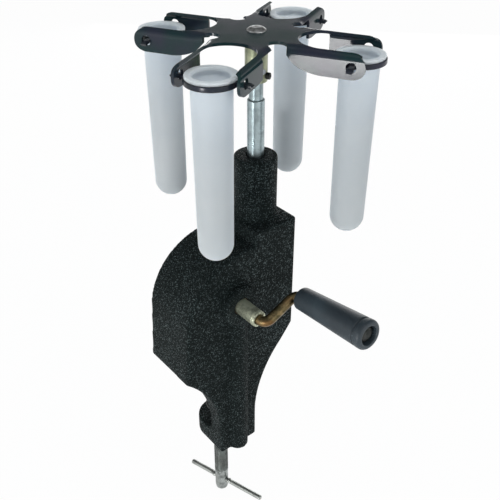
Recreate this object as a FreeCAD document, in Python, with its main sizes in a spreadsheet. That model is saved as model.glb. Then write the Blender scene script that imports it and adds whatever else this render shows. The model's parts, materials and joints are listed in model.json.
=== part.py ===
import math
import os

import FreeCAD
import Part
import Sketcher

# Hand crank centrifuge: a cast housing that clamps to a bench, with a worm drive from
# the crank to an upright spindle, and a four-armed rotor that carries four swinging buckets.
# The origin is where the clamp screw's axis meets the underside of the upper jaw.
# +Z is up, -Y is the crank's side and +X is the spindle's side. Sizes are in millimetres.

SIZES = {
    # casting, seen from the crank's side
    "front_depth": 22.0,
    "rear_depth": 18.0,
    "dome_r": 44.3,
    "dome_x": 7.2,
    "dome_z": 36.8,
    "foot_x": 39.4,
    "side_x": 45.5,
    "side_z": 8.5,
    "shoulder_z": 90.0,
    "shoulder_half": 16.0,
    "chamfer_x": 36.4,
    "chamfer_z": 2.8,
    "stem_half": 15.0,
    "stem_depth": 12.0,
    "stem_bend_z": 55.0,
    "clamp_gap": 64.0,
    "jaw_height": 13.0,
    "jaw_fillet": 4.0,
    "edge_round": 1.5,
    "rib_r": 7.0,
    "rib_out": 5.4,
    "boss_r": 13.0,
    "boss_out": 6.0,
    "neck_r": 13.0,
    "neck_top": 129.0,
    "neck_fillet": 2.2,
    # inside of the casting
    "wall": 4.5,
    "front_wall": 5.0,
    "floor": 8.0,
    "chamber_drop": 5.1,
    "lip": 1.8,
    "cover_thick": 3.0,
    "gasket_thick": 0.5,
    "cover_slip": 0.2,
    "lug_r": 5.5,
    "lug_long": 8.0,
    "lug_in": 5.0,
    "lug_floor": 1.0,
    "lug_low_angle": 35.0,
    "lug_high_angle": 8.0,
    "gasket_land": 1.5,
    "cover_screw_r": 2.0,
    "cover_screw_head_r": 3.5,
    "cover_screw_head": 2.4,
    "cover_screw_long": 9.0,
    "cover_screw_room": 0.2,
    "hole_over": 1.0,
    "root_in": 0.5,
    "bush_sink": 1.0,
    # shafts and bearings
    "crank_x": -1.0,
    "crank_z": 47.0,
    "spindle_y": -2.0,
    "shaft_r": 5.0,
    "shaft_out": 15.5,
    "bush_wall": 2.0,
    "bush_cap": 2.0,
    "front_boss_r": 10.0,
    "rear_boss_wall": 3.0,
    "washer_thick": 1.5,
    "end_play": 0.1,
    "shaft_room": 0.4,
    "shaft_chamfer": 0.6,
    "shaft_end_chamfer": 0.8,
    "running": 0.05,
    "slip": 0.02,
    "neck_bush_long": 27.0,
    "toe_r": 3.0,
    "toe_bush_wall": 3.0,
    "toe_chamfer": 0.5,
    "toe_boss_r": 10.0,
    "toe_boss_top": 22.0,
    "toe_floor": 6.0,
    "ball_r": 3.0,
    # worm and wheel
    "wheel_room": 1.2686,
    "wheel_teeth": 30,
    "worm_starts": 3,
    "worm_lead_angle": 20.0,
    "pressure_angle": 20.0,
    "backlash": 0.3,
    "wheel_width": 12.0,
    "wheel_web": 5.0,
    "wheel_rim": 4.0,
    "hub_r": 9.0,
    "hub_long": 18.0,
    "worm_long": 22.0,
    "worm_pin_in": 4.0,
    "worm_pin_half": 4.6,
    "pin_r": 1.5,
    # crank arm and grip
    "arm_rod_r": 3.15,
    "arm_stub": 8.0,
    "arm_out": 5.5,
    "arm_throw": 25.5,
    "arm_angle": 25.0,
    "arm_bend_r": 4.9,
    "grip_tilt": 6.5,
    "grip_gap": 1.8,
    "grip_seat_room": 0.3,
    "stub_gap": 0.2,
    "pin_root": 0.5,
    "pin_play": 0.2,
    "grip_long": 59.0,
    "grip_base_r": 6.9,
    "grip_end_r": 9.8,
    "grip_edge": 1.2,
    "grip_groove": 0.7,
    "grip_groove_at": 6.5,
    "grip_groove_lip": 0.1,
    "grip_recess_r": 6.0,
    "grip_recess": 4.0,
    "grip_pin_r": 2.5,
    "rivet_r": 4.2,
    "rivet_high": 1.4,
    "grip_washer_thick": 0.8,
    "grip_washer_lift": 0.1,
    "grip_washer_room": 0.5,
    # spindle and rotor
    "spindle_r": 5.0,
    "spindle_top_r": 4.0,
    "spindle_step_z": 163.0,
    "rotor_top": 201.0,
    "sheet_thick": 1.6,
    "rivet_head_r": 5.3,
    "rivet_head": 2.0,
    "rivet_head_side": 0.7,
    "rivet_head_flat_r": 3.3,
    "rotor_hub_r": 6.3,
    "rotor_hub_long": 26.0,
    "rotor_angle": 208.75,
    "bucket_count": 4,
    "arm_half": 17.8,
    "ear_depth": 14.6,
    "ear_bend_r": 2.4,
    "ear_start": 21.0,
    "ear_full": 43.0,
    "swing_r": 57.0,
    "slot_half": 15.4,
    "slot_bottom": 24.1,
    "notch_r": 5.0,
    "notch_at": 26.0,
    "ear_hole_r": 2.75,
    # buckets
    "ring_r": 13.8,
    "ring_thick": 2.8,
    "ring_slip": 0.3,
    "ring_chamfer": 0.4,
    "tab_root": 1.5,
    "tab_thick": 2.0,
    "tab_wide": 3.3,
    "tab_out": 3.3,
    "tab_drop": 0.7,
    "sleeve_r": 10.5,
    "sleeve_end_r": 9.8,
    "sleeve_bore_r": 9.2,
    "sleeve_bore_end_r": 8.6,
    "sleeve_seat": 20.0,
    "sleeve_long": 104.5,
    "sleeve_floor": 1.4,
    "flange_r": 13.2,
    "flange_thick": 1.7,
    "flange_chamfer": 1.0,
    # bench clamp
    "screw_r": 5.0,
    "screw_tail": 10.0,
    "screw_tail_r": 4.6,
    "screw_neck_in": 4.0,
    "screw_shoulder_high": 3.5,
    "screw_neck_run": 1.5,
    "screw_point_r": 2.5,
    "screw_point_side_r": 4.4,
    "screw_point_high": 1.5,
    "screw_tip_high": 4.0,
    "thread_start": 10.0,
    "thread_run": 2.0,
    "bar_z": 134.0,
    "bar_r": 1.7,
    "bar_chamfer": 0.5,
    "bar_front": 33.0,
    "bar_rear": 25.0,
    "pad_room": 0.6,
    "pad_high": 6.0,
    "pad_low_r": 6.2,
    "pad_low_side_r": 7.0,
    "pad_low_high": 0.8,
    "pad_roof": 1.5,
    "pad_band": 2.0,
    "pad_edge": 0.5,
    "pad_top_z": 53.0,
    "neck_pin_r": 3.2,
}

doc = FreeCAD.newDocument("hand_crank_centrifuge")
sheet = doc.addObject("Spreadsheet::Sheet", "Sizes")
for row, (alias, value) in enumerate(SIZES.items(), start=1):
    sheet.set(f"A{row}", alias)
    sheet.set(f"B{row}", repr(value))
    sheet.setAlias(f"B{row}", alias)
doc.recompute()


class Size:
    """A number kept together with the sheet expression that gives it."""

    def __init__(self, value, text=None):
        self.value = float(value)
        self.text = text or repr(float(value))

    def _join(self, other, sign, value):
        return Size(value, f"({self.text} {sign} {other.text})")

    def __add__(self, other):
        other = size(other)
        return self._join(other, "+", self.value + other.value)

    def __sub__(self, other):
        other = size(other)
        return self._join(other, "-", self.value - other.value)

    def __mul__(self, other):
        other = size(other)
        return self._join(other, "*", self.value * other.value)

    def __truediv__(self, other):
        other = size(other)
        return self._join(other, "/", self.value / other.value)

    def __radd__(self, other):
        return size(other) + self

    def __rsub__(self, other):
        return size(other) - self

    def __rmul__(self, other):
        return size(other) * self

    def __neg__(self):
        return Size(-self.value, f"(0 - {self.text})")


def size(number):
    return number if isinstance(number, Size) else Size(number)


def root(number):
    return Size(math.sqrt(number.value), f"sqrt({number.text})")


def sine(degrees):
    return Size(math.sin(math.radians(degrees.value)), f"sin({degrees.text})")


def cosine(degrees):
    return Size(math.cos(math.radians(degrees.value)), f"cos({degrees.text})")


class Cells:
    """Reads a size from the sheet by its alias."""

    def __getattr__(self, alias):
        return Size(sheet.get(alias), f"Sizes.{alias}")


S = Cells()
UP = FreeCAD.Rotation()
FORWARD = FreeCAD.Rotation(FreeCAD.Vector(1, 0, 0), 90)
RIGHTWARD = FreeCAD.Rotation(FreeCAD.Vector(0, 1, 0), 90)
TOOTH_DEPTH = 1.2
PIECES = []


def vector(x, y, z):
    return FreeCAD.Vector(size(x).value, size(y).value, size(z).value)


def place(thing, x=0, y=0, z=0, turn=UP, prefix="Placement"):
    """Puts a thing at a point that follows the sheet."""
    placement = FreeCAD.Placement(vector(x, y, z), turn)
    setattr(thing, prefix, placement)
    for axis, number in zip("xyz", (x, y, z)):
        number = size(number)
        if "Sizes" in number.text:
            thing.setExpression(f"{prefix}.Base.{axis}", number.text)


def bind(thing, name, number):
    number = size(number)
    setattr(thing, name, number.value)
    if "Sizes" in number.text:
        thing.setExpression(name, number.text)


def new_body(name, x=0, y=0, z=0, turn=UP):
    body = doc.addObject("PartDesign::Body", name)
    body.Label = name
    place(body, x, y, z, turn)
    PIECES.append(body)
    return body


def new_sketch(body, name, plane, offset=0):
    """A sketch on one of the body's own planes, moved along that plane's normal."""
    sketch = body.newObject("Sketcher::SketchObject", name)
    support = [f for f in body.Origin.OriginFeatures if f.Role == plane][0]
    sketch.AttachmentSupport = [(support, "")]
    sketch.MapMode = "FlatFace"
    place(sketch, 0, 0, offset, prefix="AttachmentOffset")
    return sketch


class Outline:
    """A closed outline of lines and arcs, each point tied to the sheet."""

    def __init__(self, sketch, x, y):
        self.sketch = sketch
        self.start = (size(x), size(y))
        self.here = self.start
        self.items = []

    def line(self, x, y):
        self.items.append(("line", self.here, (size(x), size(y)), None, None))
        self.here = (size(x), size(y))
        return self

    def arc(self, centre_x, centre_y, x, y, turn="ccw"):
        centre = (size(centre_x), size(centre_y))
        self.items.append(("arc", self.here, (size(x), size(y)), centre, turn))
        self.here = (size(x), size(y))
        return self

    def close(self):
        """Adds the geometry, joins its ends and ties each joint's place to the sheet."""
        first, last = self.start, self.here
        if abs(first[0].value - last[0].value) + abs(first[1].value - last[1].value) > 1e-6:
            self.line(*self.start)
        base = self.sketch.GeometryCount
        ends = []
        for index, (kind, a, b, centre, turn) in enumerate(self.items):
            geometry_a = vector(a[0], a[1], 0)
            geometry_b = vector(b[0], b[1], 0)
            if kind == "line":
                self.sketch.addGeometry(Part.LineSegment(geometry_a, geometry_b), False)
                ends.append((base + index, 1, 2))
                continue
            middle = vector(centre[0], centre[1], 0)
            circle = Part.Circle(middle, FreeCAD.Vector(0, 0, 1), (geometry_a - middle).Length)
            at_a = math.atan2(geometry_a.y - middle.y, geometry_a.x - middle.x)
            at_b = math.atan2(geometry_b.y - middle.y, geometry_b.x - middle.x)
            if turn == "ccw":
                self.sketch.addGeometry(Part.ArcOfCircle(circle, at_a, at_b), False)
                ends.append((base + index, 1, 2))
            else:
                self.sketch.addGeometry(Part.ArcOfCircle(circle, at_b, at_a), False)
                ends.append((base + index, 2, 1))
        count = len(self.items)
        for index, (geometry, _, end) in enumerate(ends):
            follower, start, _ = ends[(index + 1) % count]
            self.sketch.addConstraint(_constraint("Coincident", geometry, end, follower, start))
        for index, (kind, a, b, centre, turn) in enumerate(self.items):
            geometry, start, _ = ends[index]
            before = self.items[index - 1]
            if before[0] == "arc" and kind == "line":
                self.tie(geometry, start, a, only=self.steep(before))
            else:
                self.tie(geometry, start, a)
            if kind == "arc":
                self.tie(geometry, 3, centre)
        return self.sketch

    @staticmethod
    def steep(item):
        """Which coordinate fixes an arc's end best: the one that changes fastest there."""
        _, _, end, centre, _ = item
        across = abs(end[0].value - centre[0].value)
        along = abs(end[1].value - centre[1].value)
        return "y" if across >= along else "x"

    def tie(self, geometry, point, place_xy, only=None):
        for axis, kind, number in (("x", "DistanceX", place_xy[0]), ("y", "DistanceY", place_xy[1])):
            if only and axis != only:
                continue
            index = self.sketch.addConstraint(
                _constraint(kind, -1, 1, geometry, point, number.value)
            )
            if "Sizes" in number.text:
                self.sketch.setExpression(f"Constraints[{index}]", number.text)


def _constraint(*items):
    return Sketcher.Constraint(*items)


def circle(sketch, x, y, radius):
    """A circle whose centre and radius follow the sheet."""
    x, y, radius = size(x), size(y), size(radius)
    up = FreeCAD.Vector(0, 0, 1)
    index = sketch.addGeometry(Part.Circle(vector(x, y, 0), up, radius.value), False)
    for kind, number in (("DistanceX", x), ("DistanceY", y)):
        place_at = sketch.addConstraint(_constraint(kind, -1, 1, index, 3, number.value))
        if "Sizes" in number.text:
            sketch.setExpression(f"Constraints[{place_at}]", number.text)
    grow = sketch.addConstraint(_constraint("Radius", index, radius.value))
    if "Sizes" in radius.text:
        sketch.setExpression(f"Constraints[{grow}]", radius.text)


def pad(body, name, sketch, length, away=False):
    feature = body.newObject("PartDesign::Pad", name)
    feature.Profile = sketch
    bind(feature, "Length", length)
    feature.Reversed = away
    doc.recompute()
    return feature


def pocket(body, name, sketch, length, away=False, both=False):
    """Cuts a sketch out, and makes sure that something was cut."""
    before = body.Shape.Volume
    feature = body.newObject("PartDesign::Pocket", name)
    feature.Profile = sketch
    bind(feature, "Length", length)
    feature.Reversed = away
    if both:
        feature.SideType = "Symmetric"
    doc.recompute()
    if not feature.Shape.Volume < before - 1e-3:
        raise RuntimeError(f"{name} cut nothing")
    return feature


def peg(body, name, radius, length, x=0, y=0, z=0, turn=UP, cut=False):
    """A round peg added to a body, or a round hole cut in it."""
    kind = "SubtractiveCylinder" if cut else "AdditiveCylinder"
    before = body.Shape.Volume if cut else 0
    feature = body.newObject(f"PartDesign::{kind}", name)
    bind(feature, "Radius", radius)
    bind(feature, "Height", length)
    place(feature, x, y, z, turn)
    doc.recompute()
    if cut and not feature.Shape.Volume < before - 1e-3:
        raise RuntimeError(f"{name} cut nothing")
    return feature


def box(body, name, long, wide, high, x=0, y=0, z=0, turn=UP):
    feature = body.newObject("PartDesign::AdditiveBox", name)
    bind(feature, "Length", long)
    bind(feature, "Width", wide)
    bind(feature, "Height", high)
    place(feature, x, y, z, turn)
    doc.recompute()
    return feature


def fillet(body, name, radius, wanted):
    """Rounds the edges of the body's last shape that a test picks."""
    base = body.Tip
    names = []
    for index, edge in enumerate(base.Shape.Edges, start=1):
        if wanted(edge):
            names.append(f"Edge{index}")
    if not names:
        raise RuntimeError(f"{name} found no edge")
    feature = body.newObject("PartDesign::Fillet", name)
    feature.Base = (base, names)
    feature.Refine = False
    bind(feature, "Radius", radius)
    doc.recompute()
    if feature.Shape.isNull():
        raise RuntimeError(f"{name} did not round its edges")
    return feature


def turned(name, points, x=0, y=0, z=0, turn=UP):
    """A turned piece: radius and height pairs, revolved about the piece's own Z axis.

    A point may be (radius, height) or (radius, height, centre radius, centre height, turn)
    for an arc that ends there.
    """
    body = new_body(name, x, y, z, turn)
    sketch = new_sketch(body, f"{name}_profile", "XZ_Plane")
    outline = Outline(sketch, points[0][0], points[0][1])
    for point in points[1:]:
        if len(point) == 2:
            outline.line(*point)
        else:
            outline.arc(point[2], point[3], point[0], point[1], point[4])
    outline.close()
    feature = body.newObject("PartDesign::Revolution", f"{name}_turning")
    feature.Profile = sketch
    feature.ReferenceAxis = (sketch, ["V_Axis"])
    feature.Angle = 360
    doc.recompute()
    return body


def solid_feature(name, shape, x=0, y=0, z=0, turn=UP):
    piece = doc.addObject("Part::Feature", name)
    piece.Label = name
    piece.Shape = shape
    place(piece, x, y, z, turn)
    PIECES.append(piece)
    return piece


# Places that several pieces share
front_y = -S.front_depth
boss_y = -(S.front_depth + S.boss_out)
cover_y = S.rear_depth - S.cover_thick
ledge_y = cover_y - S.gasket_thick
bush_r = S.shaft_r + S.bush_wall
crank_off_x = S.crank_x - S.dome_x
crank_off_z = S.crank_z - S.dome_z
crank_off = root(crank_off_x * crank_off_x + crank_off_z * crank_off_z)
wheel_modules = S.wheel_teeth / (2 * cosine(S.worm_lead_angle))
worm_modules = S.worm_starts / (2 * sine(S.worm_lead_angle))
# The wheel fills the dome's chamber, so its tooth size, 1.5 mm, follows from the dome
tooth_size = (S.dome_r - S.wall - S.wheel_room - crank_off) / (wheel_modules + 1)
wheel_r = tooth_size * wheel_modules
worm_r = tooth_size * worm_modules
spindle_x = S.crank_x + wheel_r + worm_r
hub_front = S.spindle_y - S.hub_long / 2
hub_rear = S.spindle_y + S.hub_long / 2
washer_room = S.washer_thick + 2 * S.end_play
front_boss_in = hub_front - washer_room - (front_y + S.front_wall)
rear_boss_in = cover_y + S.root_in - hub_rear - washer_room
chamber_left = S.dome_x - (S.dome_r - S.wall)
chamber_right = S.side_x - S.wall
recess_r = S.dome_r - S.lip
recess_right = S.side_x - S.lip
recess_low = S.floor - (S.wall - S.lip)
chamber_top = S.dome_z + S.dome_r - S.chamber_drop
recess_top = chamber_top + (S.wall - S.lip)
sheet_z = S.rotor_top - S.sheet_thick
ear_hole_z = S.rotor_top - S.ear_depth / 2
pivot_z = ear_hole_z - S.tab_drop


def dome_reach(radius, height):
    """How far a circle about the dome's centre reaches in X at a height."""
    rise = height - S.dome_z
    return root(radius * radius - rise * rise)


def screw_places():
    """Centres of the five cover screws, inside the chamber's wall."""
    left = chamber_left + S.lug_in
    right = chamber_right - S.lug_in
    low = S.floor + S.lug_in
    arc_r = S.dome_r - S.wall - S.lug_in
    return [
        (left, low),
        (right, low),
        (right, chamber_top - S.lug_in),
        (S.dome_x - arc_r * cosine(S.lug_low_angle), S.dome_z + arc_r * sine(S.lug_low_angle)),
        (S.dome_x - arc_r * sine(S.lug_high_angle), S.dome_z + arc_r * cosine(S.lug_high_angle)),
    ]


def draw_top(outline):
    """Adds the casting's right side, squared shoulder and round dome to an outline."""
    shoulder_left = spindle_x - S.shoulder_half
    outline.line(S.side_x, S.side_z)
    outline.line(S.side_x, S.shoulder_z)
    outline.line(shoulder_left, S.shoulder_z)
    rise = root(S.dome_r * S.dome_r - (shoulder_left - S.dome_x) * (shoulder_left - S.dome_x))
    outline.line(shoulder_left, S.dome_z + rise)
    outline.arc(S.dome_x, S.dome_z, S.dome_x - S.dome_r, S.dome_z)


def casing_outline(sketch):
    """The casting behind its front plate, flat underneath where it rests on the bench."""
    slope = (S.side_x - S.chamfer_x) / (S.side_z + S.chamfer_z)
    outline = Outline(sketch, -S.foot_x, 0)
    outline.line(S.chamfer_x + S.chamfer_z * slope, 0)
    draw_top(outline)
    outline.close()


def chamber_outline(sketch, radius, left, low, right, top):
    outline = Outline(sketch, left, low)
    outline.line(right, low)
    outline.line(right, top)
    outline.line(S.dome_x + dome_reach(radius, top), top)
    outline.arc(S.dome_x, S.dome_z, S.dome_x - radius, S.dome_z)
    outline.close()


def front_outline(sketch):
    """The front plate: it narrows in two long hollow curves to the stem of the clamp."""
    bend = S.stem_bend_z
    low = -(S.clamp_gap + S.jaw_height)
    drop = bend - S.chamfer_z
    across = S.chamfer_x - S.stem_half
    curve_r = (drop * drop + across * across) / (2 * across)
    outline = Outline(sketch, -S.stem_half, low)
    outline.line(S.stem_half, low)
    outline.line(S.stem_half, -bend)
    outline.arc(S.stem_half + curve_r, -bend, S.chamfer_x, -S.chamfer_z, "cw")
    draw_top(outline)
    outline.line(-S.foot_x, 0)
    outline.line(-S.chamfer_x, -S.chamfer_z)
    outline.arc(-(S.stem_half + curve_r), -bend, -S.stem_half, -bend, "cw")
    outline.close()


def corner_web(body, name, level, way, long):
    """A hollow corner between the stem and a jaw, on the side that faces the bench."""
    back = front_y + S.stem_depth
    out = S.jaw_fillet
    sketch = new_sketch(body, f"{name}_sketch", "YZ_Plane")
    root_y, root_z = back - S.hole_over, level - way * S.hole_over
    outline = Outline(sketch, root_y, root_z)
    outline.line(back + out, root_z)
    outline.line(back + out, level)
    outline.arc(back + out, level + way * out, back, level + way * out,
                "ccw" if way < 0 else "cw")
    outline.line(root_y, level + way * out)
    outline.close()
    web = pad(body, name, sketch, long)
    web.SideType = "Symmetric"
    doc.recompute()


def make_housing():
    body = new_body("housing")
    sketch = new_sketch(body, "casing_sketch", "XZ_Plane", S.front_depth - S.stem_depth)
    casing_outline(sketch)
    pad(body, "casing", sketch, S.front_depth - S.stem_depth + S.rear_depth, away=True)
    sketch = new_sketch(body, "front_sketch", "XZ_Plane", S.front_depth)
    front_outline(sketch)
    pad(body, "front_plate", sketch, S.stem_depth, away=True)
    front = front_y.value

    def front_edge(edge):
        box_of = edge.BoundBox
        return abs(box_of.YMin - front) < 1e-3 and abs(box_of.YMax - front) < 1e-3 \
            and box_of.ZMax > -SIZES["clamp_gap"]

    fillet(body, "front_round", S.edge_round, front_edge)

    jaw_low = -(S.clamp_gap + S.jaw_height)
    sketch = new_sketch(body, "jaw_sketch", "XY_Plane", jaw_low)
    outline = Outline(sketch, -S.stem_half, front_y + S.stem_depth / 2)
    outline.line(S.stem_half, front_y + S.stem_depth / 2)
    outline.line(S.stem_half, 0)
    outline.arc(0, 0, -S.stem_half, 0)
    outline.close()
    pad(body, "jaw", sketch, S.jaw_height)
    corner_web(body, "upper_web", 0, -1, 2 * (S.chamfer_x - S.jaw_fillet))
    corner_web(body, "lower_web", -S.clamp_gap, 1, 2 * S.stem_half)

    peg(body, "crank_boss", S.boss_r, S.boss_out + S.hole_over, S.crank_x,
        front_y + S.hole_over, S.crank_z, FORWARD)
    peg(body, "neck", S.neck_r, S.neck_top - S.shoulder_z + S.hole_over, spindle_x,
        S.spindle_y, S.shoulder_z - S.hole_over)
    top, low = SIZES["neck_top"], SIZES["shoulder_z"]

    def neck_foot(edge):
        box_of = edge.BoundBox
        return abs(box_of.ZMin - low) < 1e-3 and abs(box_of.ZMax - low) < 1e-3 \
            and abs(box_of.XLength - 2 * SIZES["neck_r"]) < 1e-2

    def neck_edge(edge):
        return abs(edge.BoundBox.ZMin - top) < 1e-3

    fillet(body, "neck_foot", S.neck_fillet, neck_foot)
    fillet(body, "neck_edge", S.edge_round, neck_edge)

    def boss_edge(edge):
        box_of = edge.BoundBox
        return abs(box_of.YMin - boss_y.value) < 1e-3 and abs(box_of.YMax - boss_y.value) < 1e-3 \
            and box_of.XLength > SIZES["boss_r"]

    fillet(body, "boss_edge", S.edge_round, boss_edge)
    peg(body, "rib", S.rib_r, S.crank_z - jaw_low, 0, front_y + S.rib_r - S.rib_out, jaw_low)

    sketch = new_sketch(body, "chamber_sketch", "XZ_Plane", -S.rear_depth)
    chamber_outline(sketch, S.dome_r - S.wall, chamber_left, S.floor, chamber_right, chamber_top)
    chamber_depth = S.rear_depth + S.front_depth - S.front_wall
    pocket(body, "chamber", sketch, chamber_depth, away=True)
    sketch = new_sketch(body, "recess_sketch", "XZ_Plane", -S.rear_depth)
    chamber_outline(sketch, recess_r, S.dome_x - recess_r, recess_low, recess_right, recess_top)
    pocket(body, "cover_recess", sketch, S.cover_thick + S.gasket_thick, away=True)

    for index, (x, z) in enumerate(screw_places(), start=1):
        peg(body, f"lug_{index}", S.lug_r, S.lug_long, x, ledge_y, z, FORWARD)
    peg(body, "front_boss", S.front_boss_r, front_boss_in, S.crank_x,
        front_y + S.front_wall + front_boss_in, S.crank_z, FORWARD)
    peg(body, "toe_boss", S.toe_boss_r, S.toe_boss_top - S.floor + S.hole_over, spindle_x,
        S.spindle_y, S.floor - S.hole_over)

    for index, (x, z) in enumerate(screw_places(), start=1):
        peg(body, f"lug_hole_{index}", S.cover_screw_r + S.slip,
            S.lug_long - S.lug_floor + S.hole_over, x, ledge_y + S.hole_over, z, FORWARD,
            cut=True)
    peg(body, "front_bush_seat", bush_r + S.slip,
        front_boss_in + S.front_wall + S.boss_out - S.bush_cap,
        S.crank_x, front_y + S.front_wall + front_boss_in, S.crank_z, FORWARD, cut=True)
    peg(body, "crank_hole", S.shaft_r + S.shaft_room, S.boss_out + S.front_wall + S.hole_over,
        S.crank_x, front_y + S.front_wall, S.crank_z, FORWARD, cut=True)
    neck_seat = S.neck_top - S.bush_cap - chamber_top
    peg(body, "neck_bush_seat", bush_r + S.slip, neck_seat + S.hole_over, spindle_x,
        S.spindle_y, chamber_top - S.hole_over, cut=True)
    peg(body, "spindle_hole", S.spindle_r + S.shaft_room, S.neck_top - chamber_top, spindle_x,
        S.spindle_y, chamber_top + S.hole_over, cut=True)
    peg(body, "toe_seat", S.toe_r + S.toe_bush_wall + S.slip,
        S.toe_boss_top - S.toe_floor + S.hole_over, spindle_x, S.spindle_y, S.toe_floor,
        cut=True)
    peg(body, "screw_hole", S.screw_r + S.running, S.jaw_height + 2 * S.hole_over, 0, 0,
        jaw_low - S.hole_over, cut=True)


def make_cover():
    body = new_body("back_cover")
    sketch = new_sketch(body, "cover_sketch", "XZ_Plane", -S.rear_depth)
    gap = S.cover_slip
    chamber_outline(sketch, recess_r - gap, S.dome_x - recess_r + gap, recess_low + gap,
                    recess_right - gap, recess_top - gap)
    pad(body, "plate", sketch, S.cover_thick)
    peg(body, "rear_boss", bush_r + S.rear_boss_wall, rear_boss_in, S.crank_x,
        cover_y + S.root_in, S.crank_z, FORWARD)
    peg(body, "rear_bush_seat", bush_r + S.slip, rear_boss_in + 2 * S.hole_over, S.crank_x,
        cover_y + S.bush_sink, S.crank_z, FORWARD, cut=True)
    for index, (x, z) in enumerate(screw_places(), start=1):
        peg(body, f"screw_hole_{index}", S.cover_screw_r + S.cover_screw_room,
            S.cover_thick + 2 * S.hole_over, x, S.rear_depth + S.hole_over, z, FORWARD, cut=True)

    body = new_body("cover_gasket")
    sketch = new_sketch(body, "gasket_sketch", "XZ_Plane", -cover_y)
    chamber_outline(sketch, recess_r - gap, S.dome_x - recess_r + gap, recess_low + gap,
                    recess_right - gap, recess_top - gap)
    pad(body, "gasket", sketch, S.gasket_thick)
    sketch = new_sketch(body, "window_sketch", "XZ_Plane", -cover_y)
    inside = S.lug_in + S.cover_screw_r + S.gasket_land
    chamber_outline(sketch, S.dome_r - S.wall - inside, chamber_left + inside,
                    S.floor + inside, chamber_right - inside, chamber_top - inside)
    pocket(body, "window", sketch, S.gasket_thick * 3, both=True)
    for index, (x, z) in enumerate(screw_places(), start=1):
        peg(body, f"gasket_hole_{index}", S.cover_screw_r + S.cover_screw_room,
            S.gasket_thick + 2 * S.hole_over, x, cover_y + S.hole_over, z, FORWARD, cut=True)


def make_cover_screws():
    """Five screws in one node, each a pan head and a shank."""
    head_r, shank_r = S.cover_screw_head_r.value, S.cover_screw_r.value
    head, long = S.cover_screw_head.value, S.cover_screw_long.value
    screws = []
    for x, z in screw_places():
        foot = FreeCAD.Vector(x.value, SIZES["rear_depth"], z.value)
        shank = Part.makeCylinder(shank_r, long, foot, FreeCAD.Vector(0, -1, 0))
        cap = Part.makeCylinder(head_r, head, foot, FreeCAD.Vector(0, 1, 0))
        rim = [edge for edge in cap.Edges if abs(edge.BoundBox.YMin - foot.y - head) < 1e-6
               and edge.BoundBox.XLength > head_r]
        cap = cap.makeFillet(head / 2, rim)
        screws.append(cap.fuse(shank))
    solid_feature("cover_screws", Part.makeCompound([screw.Solids[0] for screw in screws]))


def make_bushes():
    inner = S.shaft_r + S.running
    front_long = front_boss_in + S.front_wall + S.boss_out - S.bush_cap
    turned("front_crank_bush", [(inner, 0), (bush_r, 0), (bush_r, front_long),
                                (inner, front_long)],
           S.crank_x, front_y + S.front_wall + front_boss_in, S.crank_z, FORWARD)
    turned("rear_crank_bush", [(inner, 0), (bush_r, 0), (bush_r, rear_boss_in),
                               (inner, rear_boss_in)],
           S.crank_x, cover_y + S.root_in, S.crank_z, FORWARD)
    turned("neck_bush", [(inner, 0), (bush_r, 0), (bush_r, S.neck_bush_long),
                         (inner, S.neck_bush_long)],
           spindle_x, S.spindle_y, S.neck_top - S.bush_cap - S.neck_bush_long)
    toe_in = S.toe_r + S.running
    toe_out = S.toe_r + S.toe_bush_wall
    toe_long = S.toe_boss_top - S.toe_floor
    turned("toe_bush", [(toe_in, 0), (toe_out, 0), (toe_out, toe_long), (toe_in, toe_long)],
           spindle_x, S.spindle_y, S.toe_floor)
    turned("thrust_ball", [(0, -S.ball_r), (0, S.ball_r, 0, 0, "ccw")],
           spindle_x, S.spindle_y, S.toe_floor + S.ball_r)


def gear_section(teeth, pitch_r, helix_angle, thin, turn):
    """The outline of a helical gear square to its axis, as one wire of arcs.

    A flank follows the involute through its root, pitch and tip; the half angle of a tooth at
    radius r is pi / (2 teeth) + inv(a) - inv(a at r), less half of the backlash.
    """
    module = tooth_size.value
    normal = math.radians(SIZES["pressure_angle"])
    angle = math.atan(math.tan(normal) / math.cos(helix_angle))
    base_r = pitch_r * math.cos(angle)
    tip_r = pitch_r + module
    root_r = pitch_r - TOOTH_DEPTH * module

    def half_angle(radius):
        flank = math.acos(min(1.0, base_r / radius))
        spread = math.tan(angle) - angle - (math.tan(flank) - flank)
        return math.pi / (2 * teeth) + spread - thin / (2 * pitch_r)

    def at(radius, turned_by):
        return FreeCAD.Vector(radius * math.cos(turned_by), radius * math.sin(turned_by), 0)

    edges = []
    radii = (root_r, pitch_r, tip_r)
    for tooth in range(teeth):
        middle = turn + 2 * math.pi * tooth / teeth
        after = middle + 2 * math.pi / teeth
        rise = [at(radius, middle - half_angle(radius)) for radius in radii]
        fall = [at(radius, middle + half_angle(radius)) for radius in reversed(radii)]
        next_root = at(root_r, after - half_angle(root_r))
        edges.append(Part.Arc(*rise).toShape())
        edges.append(Part.Arc(rise[2], at(tip_r, middle), fall[0]).toShape())
        edges.append(Part.Arc(*fall).toShape())
        edges.append(Part.Arc(fall[2], at(root_r, middle + math.pi / teeth), next_root).toShape())
    return Part.Wire(edges)


def screw_sweep(section, lead, length, start):
    """Carries a section along Z while it turns once in each lead, from a start height."""
    section = section.copy()
    section.rotate(FreeCAD.Vector(), FreeCAD.Vector(0, 0, 1), 360 * start / lead)
    section.translate(FreeCAD.Vector(0, 0, start))
    helix = Part.makeHelix(lead, length, lead)
    helix.rotate(FreeCAD.Vector(), FreeCAD.Vector(0, 0, 1), 360 * start / lead)
    helix.translate(FreeCAD.Vector(0, 0, start))
    sweep = Part.BRepOffsetAPI.MakePipeShell(helix)
    sweep.setFrenetMode(True)
    sweep.add(section, False, False)
    sweep.build()
    sweep.makeSolid()
    return Part.Solid(sweep.shape())


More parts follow.
